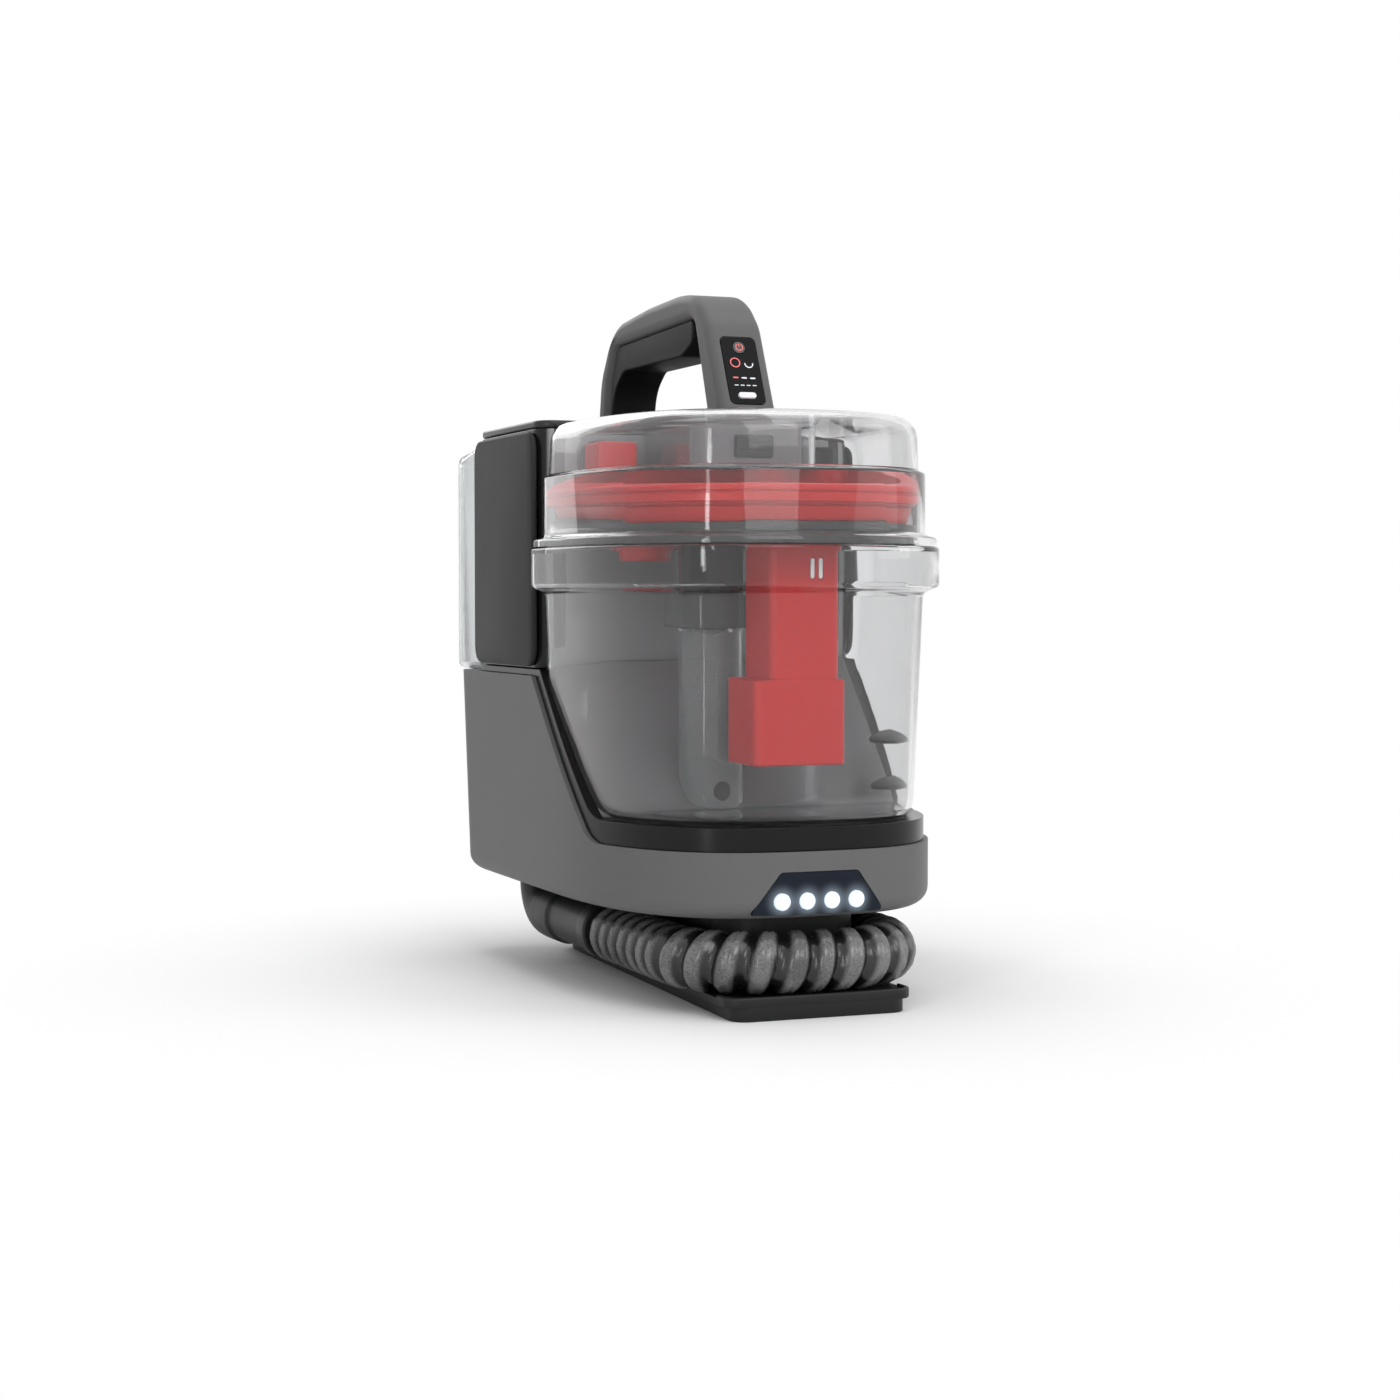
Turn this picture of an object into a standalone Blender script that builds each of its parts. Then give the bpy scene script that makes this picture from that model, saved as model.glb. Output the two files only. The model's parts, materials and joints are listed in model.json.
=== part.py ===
# Portable spot extractor, modelled piece by piece. Units are metres, +Z is up, the nose points to -Y.
# The origin lies on the floor under the middle of the base tray's sole.

import math

import bmesh
import bpy
from mathutils import Matrix, Vector

# ---------------------------------------------------------------- driving dimensions

GAP = 0.0003                    # seat clearance between pieces that touch
WALL = 0.0025                   # housing wall
CLEAR_WALL = 0.0024             # wall of the clear tanks

BODY_HALF_WIDTH = 0.0960        # flank of the housing from the centre plane
NOSE_Y = -0.1630                # foremost point of the housing
NOSE_LENGTH = 0.1554            # from the nose back to where the flanks run straight
NOSE_POWER = 2.865              # squareness of the nose's plan curve
FLANK_Y = NOSE_Y + NOSE_LENGTH
NOSE_STEPS = 24                 # points along the nose curve
REAR_STEPS = 4                  # points on each rear corner

SOLE_THICKNESS = 0.0105         # tray floor, from the ground to the face that the hose lies on
TRAY_RIM = 0.0015               # height of the front rim over the tray floor
TRAY_RIM_WIDTH = 0.0022
TRAY_FRONT_Y = -0.1665
TRAY_REAR_Y = 0.1250
SOLE_FRONT_HALF = 0.0475
SOLE_REAR_HALF = 0.0360
TRAY_FRONT_HALF = 0.0505
TRAY_REAR_HALF = 0.0440
PAD_FRONT_Y = -0.1420
PAD_REAR_Y = 0.1050
PAD_FRONT_HALF = 0.0340
PAD_REAR_HALF = 0.0240
PAD_HALF_DEPTH = 0.0070
PAD_DEPTH = 0.0012

HOSE_RADIUS = 0.0160            # over the ribs
HOSE_VALLEY_RADIUS = 0.0128     # between the ribs
HOSE_BORE_RADIUS = 0.0105
HOSE_RIB_PITCH = 0.0155
HOSE_FLANK_X = 0.0560           # centre line beside the pedestal
HOSE_FRONT_Y = -0.1560          # centre line in front of the pedestal
HOSE_BEND_RADIUS = 0.0460
HOSE_RISER_X = 0.1190           # where the hose climbs to the hand tool
HOSE_RISER_Y = 0.0930
HOSE_TURN_Y = 0.0300
CUFF_LENGTH = 0.0880
CUFF_FRONT_Y = -0.0120

BODY_BOTTOM = 0.0487            # lower edge of the housing
BODY_BEND = 0.0090              # height and depth of its rounded lower edge
BAND_TOP = 0.0819               # top of the grey band at the nose
TANK_BOTTOM = 0.0944
SHELF_TOP = 0.1645              # rear shelf of the housing, which the clean tank stands on
DECK_TOP = 0.1680               # top of the cradle under the tower
CRADLE_TOE_Y = -0.0800          # where the tank's flat floor turns up
CRADLE_ANGLE = math.radians(45)
CRADLE_FILLET = 0.0220
CRADLE_GAP = 0.0006
TRIM_SLOPE_THICKNESS = 0.0080
HOUSING_REAR_TOP_Y = 0.1580
HOUSING_REAR_LOW_Y = 0.1440
HOUSING_CORNER = 0.0300

TOWER_FRONT_Y = -0.0015
TOWER_REAR_Y = 0.1112
TOWER_HALF = 0.0925
TOWER_TOP = 0.2972
TOWER_CORNER = 0.0100
PANEL_THICKNESS = 0.0032
PANEL_EDGE = 0.0022             # black edge of the tower left round each side panel
DECK_PLATE = 0.0042             # thickness of the top deck
DECK_REAR_Y = 0.1250
BRIDGE_HALF = 0.0310
BRIDGE_FRONT_Y = -0.0765
BRIDGE_DEPTH = 0.0295
BRIDGE_WALL = 0.0030

TANK_REAR_Y = -0.0040
TANK_CORNER = 0.0120
TANK_DRAFT_LOW = 0.0068         # inset of the bucket's wall at its foot and under its collar
TANK_DRAFT_HIGH = 0.0028
COLLAR_LOW = 0.2075
COLLAR_BEND = 0.0040
BUCKET_TOP = 0.2325
COLLAR_PROUD = 0.0050
RIM_SHELF = 0.0125              # inner reach of the bucket's rim shelf
RIM_SHELF_THICKNESS = 0.0030
LID_BOTTOM = BUCKET_TOP + 0.0008
LID_LEDGE = 0.2700
LID_TOP = 0.2997
NOTCH_CLEARANCE = 0.0025
NOTCH_FRONT_Y = -0.0850
NOTCH_FLOOR = 0.2705

RING_BOTTOM = 0.2436
RING_TOP = 0.2619
RING_WIDTH = 0.0100
WEB_THICKNESS = 0.0025

DUCT_X = 0.0042                 # red duct: centre, half sizes and its wide foot
DUCT_Y = -0.1170
DUCT_HALF_X = 0.0189
DUCT_HALF_Y = 0.0180
DUCT_FOOT_X = 0.0012
DUCT_FOOT_HALF_X = 0.0250
DUCT_FOOT_HALF_Y = 0.0192
DUCT_FOOT_TOP = 0.1650
DUCT_FOOT_BOTTOM = 0.1222
DUCT_WALL = 0.0020

PIPE_X = -0.0215                # standpipe, float cage and float share this axis
PIPE_Y = -0.0710
PIPE_RADIUS = 0.0168
PIPE_WALL = 0.0018
PIPE_TOP = 0.1890
CAGE_RADIUS = 0.0168
CAGE_COLLAR_RADIUS = 0.0240
CAGE_COLLAR_TOP = 0.2120
CAGE_WALL = 0.0022
FLOAT_RADIUS = 0.0125
FLOAT_SEAT_RADIUS = 0.0095
FLOAT_PORT_RADIUS = 0.0100

FUNNEL_X = -0.0440
FUNNEL_Y = -0.0330
PORT_X = 0.0575                 # inlet port at -X, suction port at +X
PORT_Z = 0.2800
PORT_RADIUS = 0.0070
ELBOW_HALF = 0.0105
ELBOW_FRONT_Y = -0.0300

HANDLE_HALF = 0.0160
HANDLE_EDGE = 0.0050
GRIP_HALF = 0.0135
DISPLAY_HALF = 0.0098
DISPLAY_LENGTH = 0.0400
DISPLAY_DEPTH = 0.0014
DISPLAY_START = 0.0060
KEY_TRAVEL = 0.0010
KEY_PROUD = 0.0014

CLEAN_FRONT_Y = 0.1125
CLEAN_REAR_Y = 0.1630
CLEAN_HALF = 0.0905
CLEAN_TOP_FRONT = 0.2968
CLEAN_TOP_REAR = 0.2870
CAP_X = 0.0450
CAP_Y = 0.1440
NECK_RADIUS = 0.0110
NECK_BORE = 0.0090
NECK_TOP = 0.2985
CAP_RADIUS = 0.0135
CAP_THICKNESS = 0.0050
CAP_HINGE_OFFSET = 0.0160
CAP_PIN_RADIUS = 0.0012
VALVE_X = 0.0300
VALVE_Z = 0.1780
VALVE_RADIUS = 0.0050
VALVE_REACH = 0.0060
VALVE_BARB_RADIUS = 0.0030

MOTOR_X = 0.0
MOTOR_Y = 0.0550
MOTOR_RADIUS = 0.0350
MOTOR_BOTTOM = 0.1790
MOTOR_TOP = 0.2350
SHAFT_RADIUS = 0.0030
FAN_RADIUS = 0.0400
FAN_BOTTOM = 0.2425
FAN_TOP = 0.2565
FAN_BLADES = 6
FAN_EYE_RADIUS = 0.0120
FAN_HOUSING_RADIUS = 0.0440
DUCT_PIPE_RADIUS = 0.0110
DUCT_PIPE_BORE = 0.0090
RISER_X = -HOSE_FLANK_X
RISER_Y = 0.0965

LAMP_COUNT = 4
LAMP_PITCH = 0.0133
LAMP_RADIUS = 0.0042
LAMP_Z = 0.0575
LIGHT_BOTTOM = 0.0510
LIGHT_TOP = 0.0718
LIGHT_BOTTOM_HALF = 0.0365
LIGHT_TOP_HALF = 0.0205
LIGHT_THICKNESS = 0.0032

TOOL_X = HOSE_RISER_X
TOOL_Y = HOSE_RISER_Y
TOOL_BOTTOM = 0.1240
TOOL_BORE = 0.0095
TRIGGER_HALF = 0.0048
TRIGGER_PIVOT_Z = 0.2030

# ---------------------------------------------------------------- scene and materials

for old_object in list(bpy.data.objects):
    bpy.data.objects.remove(old_object, do_unlink=True)

scene_collection = bpy.context.scene.collection


def material(name, colour, roughness, metallic=0.0, alpha=1.0):
    made = bpy.data.materials.new(name)
    made.use_nodes = True
    shader = made.node_tree.nodes["Principled BSDF"]
    shader.inputs["Base Color"].default_value = (*colour, 1.0)
    shader.inputs["Roughness"].default_value = roughness
    shader.inputs["Metallic"].default_value = metallic
    shader.inputs["Alpha"].default_value = alpha
    made.diffuse_color = (*colour, alpha)
    return made


GREY = ("grey_plastic", (0.16, 0.16, 0.16), 0.42)
DARK = ("dark_plastic", (0.018, 0.018, 0.02), 0.5)
PANEL = ("panel_plastic", (0.06, 0.06, 0.062), 0.4)
RED = ("red_plastic", (0.55, 0.05, 0.05), 0.35)
CLEAR = ("clear_plastic", (0.8, 0.82, 0.83), 0.08, 0.0, 0.3)
RUBBER = ("rubber", (0.03, 0.03, 0.03), 0.8)
HOSE = ("hose_plastic", (0.12, 0.12, 0.125), 0.45)
STEEL = ("steel", (0.55, 0.55, 0.56), 0.3, 1.0)
BOARD = ("circuit_board", (0.02, 0.16, 0.07), 0.6)
WHITE = ("white_plastic", (0.75, 0.76, 0.78), 0.4)
LAMP = ("lamp_lens", (0.85, 0.93, 1.0), 0.2)


# ---------------------------------------------------------------- mesh helpers

def finish(mesh_build, name, look, smooth_angle=38):
    bmesh.ops.remove_doubles(mesh_build, verts=mesh_build.verts, dist=1e-6)
    bmesh.ops.recalc_face_normals(mesh_build, faces=mesh_build.faces)
    mesh = bpy.data.meshes.new(name)
    mesh_build.to_mesh(mesh)
    mesh_build.free()
    if look:
        mesh.materials.append(material(name + "_" + look[0], *look[1:]))
    mesh.shade_smooth()
    mesh.set_sharp_from_angle(angle=math.radians(smooth_angle))
    made = bpy.data.objects.new(name, mesh)
    scene_collection.objects.link(made)
    return made


def combine(target, tool, operation="DIFFERENCE"):
    change = target.modifiers.new(operation.lower(), "BOOLEAN")
    change.operation = operation
    change.solver = "EXACT"
    change.object = tool
    graph = bpy.context.evaluated_depsgraph_get()
    result = bpy.data.meshes.new_from_object(target.evaluated_get(graph))
    target.modifiers.clear()
    spent = target.data
    result.name = spent.name
    target.data = result
    bpy.data.meshes.remove(spent)
    tool_mesh = tool.data
    bpy.data.objects.remove(tool, do_unlink=True)
    bpy.data.meshes.remove(tool_mesh)
    result.set_sharp_from_angle(angle=math.radians(38))
    return target


def cut(target, *tools):
    for tool in tools:
        combine(target, tool, "DIFFERENCE")
    return target


def join(target, *tools):
    for tool in tools:
        combine(target, tool, "UNION")
    return target


def set_origin(made, point):
    shift = Vector(point)
    made.data.transform(Matrix.Translation(-shift))
    made.location = shift


def loft(loops, name="tool", look=None, closed=False):
    # skin over loops of equal point count; open ends get flat caps
    build = bmesh.new()
    rings = [[build.verts.new(point) for point in loop] for loop in loops]
    count = len(rings[0])
    pairs = list(zip(rings, rings[1:]))
    if closed:
        pairs.append((rings[-1], rings[0]))
    for low, high in pairs:
        for i in range(count):
            j = (i + 1) % count
            build.faces.new((low[i], low[j], high[j], high[i]))
    if not closed:
        build.faces.new(rings[0])
        build.faces.new(rings[-1])
    return finish(build, name, look)


def prism(outline, low, high, axis="Z", name="tool", look=None):
    # outline points are (x, y) for Z, (y, z) for X and (x, z) for Y
    place = {"X": lambda p, h: (h, p[0], p[1]), "Y": lambda p, h: (p[0], h, p[1]), "Z": lambda p, h: (p[0], p[1], h)}
    loops = [[place[axis](point, height) for point in outline] for height in (low, high)]
    return loft(loops, name, look)


def box(low, high, name="tool", look=None, bevel=0.0, segments=2):
    build = bmesh.new()
    bmesh.ops.create_cube(build, size=1.0)
    size = Vector(high) - Vector(low)
    bmesh.ops.scale(build, vec=size, verts=build.verts)
    bmesh.ops.translate(build, vec=(Vector(high) + Vector(low)) / 2, verts=build.verts)
    if bevel:
        bmesh.ops.bevel(build, geom=build.edges[:], offset=bevel, segments=segments, affect="EDGES", profile=0.5)
    return finish(build, name, look)


def rounded(corners, radii, steps=5):
    # polygon with each corner replaced by an arc of its own radius
    if not isinstance(radii, (list, tuple)):
        radii = [radii] * len(corners)
    points = []
    for i, corner in enumerate(corners):
        here = Vector(corner)
        back = (Vector(corners[i - 1]) - here)
        ahead = (Vector(corners[(i + 1) % len(corners)]) - here)
        radius = radii[i]
        if radius <= 0:
            points.append(tuple(here))
            continue
        half = back.angle(ahead) / 2
        tangent = radius / math.tan(half)
        limit = 0.49 * min(back.length, ahead.length)
        if tangent > limit:
            tangent = limit
            radius = tangent * math.tan(half)
        start = here + back.normalized() * tangent
        centre = here + (back.normalized() + ahead.normalized()).normalized() * (radius / math.sin(half))
        end = here + ahead.normalized() * tangent
        arm = start - centre
        turn = arm.angle_signed(end - centre)
        for k in range(steps + 1):
            angle = -turn * k / steps
            point = centre + Vector((arm.x * math.cos(angle) - arm.y * math.sin(angle),
                                     arm.x * math.sin(angle) + arm.y * math.cos(angle)))
            points.append(tuple(point))
    return points


def rounded_box_outline(low, high, radius, steps=4):
    corners = [(low[0], low[1]), (high[0], low[1]), (high[0], high[1]), (low[0], high[1])]
    return rounded(corners, radius, steps)


def ring_profile(centre, profile, steps=24, name="tool", look=None, axis="Z"):
    # turned solid: profile is (radius, height); a profile that starts and ends on the axis has poles
    turn = {"Z": lambda r, a, h: (r * math.cos(a), r * math.sin(a), h),
            "X": lambda r, a, h: (h, r * math.cos(a), r * math.sin(a)),
            "Y": lambda r, a, h: (r * math.cos(a), h, r * math.sin(a))}[axis]
    build = bmesh.new()
    rings = []
    for radius, height in profile:
        count = 1 if radius < 1e-6 else steps
        ring = []
        for k in range(count):
            local = Vector(turn(radius, 2 * math.pi * k / steps, height))
            ring.append(build.verts.new(local + Vector(centre)))
        rings.append(ring)
    pairs = list(zip(rings, rings[1:]))
    if len(rings[0]) > 1 or len(rings[-1]) > 1:
        pairs.append((rings[-1], rings[0]))
    for low, high in pairs:
        for k in range(steps):
            n = (k + 1) % steps
            if len(low) > 1 and len(high) > 1:
                build.faces.new((low[k], low[n], high[n], high[k]))
            elif len(high) > 1:
                build.faces.new((low[0], high[n], high[k]))
            elif len(low) > 1:
                build.faces.new((low[k], low[n], high[0]))
    return finish(build, name, look)


def rod(start, end, radius, steps=20, name="tool", look=None):
    axis = Vector(end) - Vector(start)
    build = bmesh.new()
    bmesh.ops.create_cone(build, cap_ends=True, segments=steps, radius1=radius, radius2=radius, depth=axis.length)
    spin = axis.to_track_quat("Z", "Y").to_matrix().to_4x4()
    middle = Matrix.Translation((Vector(start) + Vector(end)) / 2)
    bmesh.ops.transform(build, matrix=middle @ spin, verts=build.verts)
    return finish(build, name, look)


def filleted_path(corners, radii, spacing):
    # 3D run of straight lines and arcs, softened where they meet and read at an even spacing
    dense = [Vector(corners[0])]
    for i in range(1, len(corners) - 1):
        here = Vector(corners[i])
        back = (Vector(corners[i - 1]) - here).normalized()
        ahead = (Vector(corners[i + 1]) - here).normalized()
        half = back.angle(ahead) / 2
        tangent = radii[i - 1] / math.tan(half)
        centre = here + (back + ahead).normalized() * (radii[i - 1] / math.sin(half))
        first = here + back * tangent - centre
        last = here + ahead * tangent - centre
        sweep = first.angle(last)
        for k in range(13):
            share = k / 12
            arm = (first * math.sin((1 - share) * sweep) + last * math.sin(share * sweep)) / math.sin(sweep)
            dense.append(centre + arm)
    dense.append(Vector(corners[-1]))
    lengths = [0.0]
    for one, two in zip(dense, dense[1:]):
        lengths.append(lengths[-1] + (two - one).length)
    total = lengths[-1]
    count = max(2, round(total / spacing))
    points = []
    index = 0
    for k in range(count + 1):
        want = total * k / count
        while index < len(lengths) - 2 and lengths[index + 1] < want:
            index += 1
        span = lengths[index + 1] - lengths[index]
        points.append(dense[index].lerp(dense[index + 1], (want - lengths[index]) / span))
    return points, total


def soften(points, rounds, keep):
    # eases the joints of straight runs and arcs; the first and last points stay straight
    eased = [point.copy() for point in points]
    for _ in range(rounds):
        previous = [point.copy() for point in eased]
        for i in range(keep, len(points) - keep):
            eased[i] = previous[i - 1] * 0.25 + previous[i] * 0.5 + previous[i + 1] * 0.25
    return eased


def curve_tube(points, radii, name="tool", look=None, sides=2):
    # curve with a round bevel and filled caps, turned into its mesh
    data = bpy.data.curves.new(name, "CURVE")
    data.dimensions = "3D"
    data.bevel_depth = 1.0
    data.bevel_resolution = sides
    data.use_fill_caps = True
    data.twist_mode = "MINIMUM"
    spline = data.splines.new("POLY")
    spline.points.add(len(points) - 1)
    for i, point in enumerate(points):
        spline.points[i].co = (*point, 1.0)
        spline.points[i].radius = radii[i] if isinstance(radii, list) else radii
    guide = bpy.data.objects.new(name + "_path", data)
    scene_collection.objects.link(guide)
    graph = bpy.context.evaluated_depsgraph_get()
    mesh = bpy.data.meshes.new_from_object(guide.evaluated_get(graph))
    bpy.data.objects.remove(guide, do_unlink=True)
    bpy.data.curves.remove(data)
    build = bmesh.new()
    build.from_mesh(mesh)
    bpy.data.meshes.remove(mesh)
    return finish(build, name, look)


# ---------------------------------------------------------------- shared outlines

def body_outline(inset=0.0, rear=HOUSING_REAR_TOP_Y, corner=HOUSING_CORNER):
    # plan of the machine: a squared half ellipse at the nose, straight flanks, round rear corners
    half = BODY_HALF_WIDTH - inset
    length = NOSE_LENGTH - inset
    power = 2 / NOSE_POWER
    nose_end = min(FLANK_Y, rear - corner - 0.001)
    dense = []
    for i in range(361):
        angle = math.pi * i / 360
        across = math.copysign(abs(math.cos(angle)) ** power, math.cos(angle))
        point = Vector((half * across, FLANK_Y - length * abs(math.sin(angle)) ** power))
        if point.y <= nose_end:
            dense.append(point)
    lengths = [0.0]
    for one, two in zip(dense, dense[1:]):
        lengths.append(lengths[-1] + (two - one).length)
    outline = []
    index = 0
    for k in range(NOSE_STEPS + 1):
        want = lengths[-1] * k / NOSE_STEPS
        while index < len(lengths) - 2 and lengths[index + 1] < want:
            index += 1
        span = max(lengths[index + 1] - lengths[index], 1e-9)
        outline.append(tuple(dense[index].lerp(dense[index + 1], (want - lengths[index]) / span)))
    for side in (-1, 1):
        for k in range(REAR_STEPS + 1):
            share = k if side < 0 else REAR_STEPS - k
            angle = math.pi / 2 * share / REAR_STEPS
            outline.append((side * (half - corner + corner * math.cos(angle)),
                            rear - corner + corner * math.sin(angle)))
    return outline


def body_stack(sections, name="tool", look=None, rear=HOUSING_REAR_TOP_Y, corner=HOUSING_CORNER):
    # sections are (height, inset) or (height, inset, rear)
    loops = []
    for section in sections:
        back = section[2] if len(section) > 2 else rear
        loops.append([(x, y, section[0]) for x, y in body_outline(section[1], back, corner)])
    return loft(loops, name, look)


def cradle_line(flat_drop, slope_drop, shelf=None, rear=None, fillet=CRADLE_FILLET):
    # side profile of the surface that the dirty tank sits on, lowered by the given drops
    floor = TANK_BOTTOM - flat_drop
    lift = math.tan(CRADLE_ANGLE)
    slope_start = CRADLE_TOE_Y + (slope_drop / math.cos(CRADLE_ANGLE) - flat_drop) / lift
    half = CRADLE_ANGLE / 2
    tangent = fillet * math.tan(half)
    line = [(NOSE_Y - 0.05, floor)]
    for k in range(7):
        angle = CRADLE_ANGLE * k / 6
        line.append((slope_start - tangent + fillet * math.sin(angle), floor + fillet * (1 - math.cos(angle))))
    if shelf is None:
        line.append((slope_start + 0.15 / lift, floor + 0.15))
    else:
        line.append((slope_start + (shelf - floor) / lift, shelf))
        line.append((rear, shelf))
    return line


# ---------------------------------------------------------------- base: tray, pedestal, hose

def tray_outline(front_half, rear_half, inset=0.0):
    corners = [(-front_half + inset, TRAY_FRONT_Y + inset), (front_half - inset, TRAY_FRONT_Y + inset),
               (rear_half - inset, TRAY_REAR_Y - inset), (-rear_half + inset, TRAY_REAR_Y - inset)]
    return rounded(corners, [0.009 - inset, 0.009 - inset, 0.018, 0.018], 4)


def pad_outline(rear, shrink=0.0):
    # rubber strip under the front or the rear of the sole
    middle = PAD_REAR_Y if rear else PAD_FRONT_Y
    half = (PAD_REAR_HALF if rear else PAD_FRONT_HALF) - shrink
    depth = PAD_HALF_DEPTH - shrink
    return rounded_box_outline((-half, middle - depth), (half, middle + depth), depth * 0.98, 6)


def build_base_tray():
    sole = tray_outline(SOLE_FRONT_HALF, SOLE_REAR_HALF)
    plate = tray_outline(TRAY_FRONT_HALF, TRAY_REAR_HALF)
    foot = SOLE_THICKNESS * 0.6
    top = SOLE_THICKNESS + TRAY_RIM
    heights = [(0.0, sole), (foot, sole), (foot + 0.0018, plate), (top, plate)]
    tray = loft([[(x, y, z) for x, y in outline] for z, outline in heights], "base_tray", DARK)
    floor = tray_outline(TRAY_FRONT_HALF, TRAY_REAR_HALF, TRAY_RIM_WIDTH)
    cut(tray, prism(floor, SOLE_THICKNESS, top + 0.01))
    cut(tray, box((-0.1, TRAY_FRONT_Y + 0.016, SOLE_THICKNESS), (0.1, 0.2, top + 0.01)))
    for rear in (False, True):
        cut(tray, prism(pad_outline(rear), -0.01, PAD_DEPTH))
    return tray


def build_floor_pad(name, rear):
    return prism(pad_outline(rear, GAP), 0.0, PAD_DEPTH - GAP, "Z", name, RUBBER)


HOSE_Z = SOLE_THICKNESS + GAP + HOSE_RADIUS
PEDESTAL_HALF = HOSE_FLANK_X - HOSE_RADIUS - 0.0015
PORT_FACE_Y = CUFF_FRONT_Y + CUFF_LENGTH + GAP
PORT_BLOCK_REAR_Y = RISER_Y + HOSE_RADIUS + 0.004


def build_pedestal():
    # post between tray and housing, with the hose's port block on its left side
    front = HOSE_FRONT_Y + HOSE_RADIUS + 0.0015
    block_x = -HOSE_FLANK_X - HOSE_RADIUS
    corners = [(-PEDESTAL_HALF, front), (PEDESTAL_HALF, front), (PEDESTAL_HALF, PORT_BLOCK_REAR_Y),
               (block_x, PORT_BLOCK_REAR_Y), (block_x, PORT_FACE_Y), (-PEDESTAL_HALF, PORT_FACE_Y)]
    inner_bend = HOSE_BEND_RADIUS - HOSE_RADIUS - 0.001
    outline = rounded(corners, [inner_bend, inner_bend, 0.012, 0.012, 0.003, 0.003], 6)
    low = SOLE_THICKNESS + GAP
    high = BODY_BOTTOM
    pedestal = prism(outline, low, high, "Z", "pedestal", DARK)
    cut(pedestal, rod((-HOSE_FLANK_X, PORT_FACE_Y - 0.01, HOSE_Z), (-HOSE_FLANK_X, RISER_Y, HOSE_Z), HOSE_BORE_RADIUS))
    cut(pedestal, rod((RISER_X, RISER_Y, HOSE_Z - 0.0085), (RISER_X, RISER_Y, high + 0.01), HOSE_BORE_RADIUS + 0.0006, 24))
    return pedestal


def build_hose_cuff():
    inner = HOSE_BORE_RADIUS
    outer = HOSE_RADIUS - 0.0002
    neck = HOSE_RADIUS - 0.0018
    profile = [(inner, 0.0), (outer, 0.0), (outer, 0.012), (neck, 0.014), (neck, CUFF_LENGTH - 0.024),
               (outer, CUFF_LENGTH - 0.022), (outer, CUFF_LENGTH), (inner, CUFF_LENGTH)]
    centre = (-HOSE_FLANK_X, CUFF_FRONT_Y, HOSE_Z)
    return ring_profile(centre, profile, 20, "hose_cuff", DARK, "Y")


def hose_corners():
    start = (-HOSE_FLANK_X, CUFF_FRONT_Y - GAP, HOSE_Z)
    reach = HOSE_RISER_X - HOSE_FLANK_X
    return [start, (-HOSE_FLANK_X, HOSE_FRONT_Y, HOSE_Z), (HOSE_FLANK_X, HOSE_FRONT_Y, HOSE_Z),
            (HOSE_FLANK_X, HOSE_TURN_Y, HOSE_Z), (HOSE_RISER_X, HOSE_TURN_Y + reach, HOSE_Z),
            (HOSE_RISER_X, HOSE_RISER_Y, HOSE_TOP_Z)]


TOOL_CUFF_LENGTH = 0.0220
HOSE_TOP_Z = TOOL_BOTTOM - TOOL_CUFF_LENGTH - 2 * GAP


def build_suction_hose():
    # one unbroken ribbed tube: round the pedestal, then up to the hand tool
    bends = [HOSE_BEND_RADIUS, HOSE_BEND_RADIUS, 0.048, 0.040]
    points, length = filleted_path(hose_corners(), bends, HOSE_RIB_PITCH / 2)
    if len(points) % 2 == 0:
        points, length = filleted_path(hose_corners(), bends, length / len(points))
    straight = math.ceil(2 * HOSE_RADIUS / (HOSE_RIB_PITCH / 2))
    points = soften(points, 3, straight)
    radii = [HOSE_VALLEY_RADIUS if i % 2 == 0 else HOSE_RADIUS for i in range(len(points))]
    hose = curve_tube(points, radii, "suction_hose", HOSE)
    first = points[0] + (points[0] - points[1])
    last = points[-1] + (points[-1] - points[-2])
    bore = [first] + points[1:-1:2] + [last]
    cut(hose, curve_tube(bore, HOSE_BORE_RADIUS))
    apart = 6
    nearest = min((points[i] - points[j]).length - 2 * HOSE_RADIUS
                  for i in range(len(points)) for j in range(i + apart, len(points)))
    print("suction_hose length %.3f m, least gap to itself %.1f mm" % (length, nearest * 1000))
    return hose


def build_tool_cuff():
    inner = HOSE_BORE_RADIUS
    outer = HOSE_RADIUS - 0.0010
    low = HOSE_TOP_Z + GAP
    profile = [(inner, 0.0), (outer, 0.0), (outer, 0.006), (outer - 0.0014, 0.0075), (outer - 0.0014, 0.0145),
               (outer, 0.016), (outer - 0.0006, TOOL_CUFF_LENGTH), (inner, TOOL_CUFF_LENGTH)]
    return ring_profile((TOOL_X, TOOL_Y, low), profile, 20, "tool_cuff", DARK)


# ---------------------------------------------------------------- lower housing

def rear_at(height):
    share = (height - BODY_BOTTOM) / (SHELF_TOP - BODY_BOTTOM)
    return HOUSING_REAR_LOW_Y + (HOUSING_REAR_TOP_Y - HOUSING_REAR_LOW_Y) * share


def housing_sections(inset, low, high):
    # rounded lower edge, then straight flanks; the rear wall leans back as it rises
    sections = []
    for k in range(4):
        angle = math.pi / 2 * k / 3
        sections.append((BODY_BOTTOM + BODY_BEND * math.sin(angle), BODY_BEND * (1 - math.sin(angle))))
    stack = [(z, depth + inset, rear_at(z) - depth - inset) for z, depth in sections if z > low]
    stack.append((high, inset, rear_at(high) - inset))
    return stack


def profile_cutter(line, top):
    outline = list(line) + [(line[-1][0], top), (line[0][0], top)]
    return prism(outline, -0.2, 0.2, "X")


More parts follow.
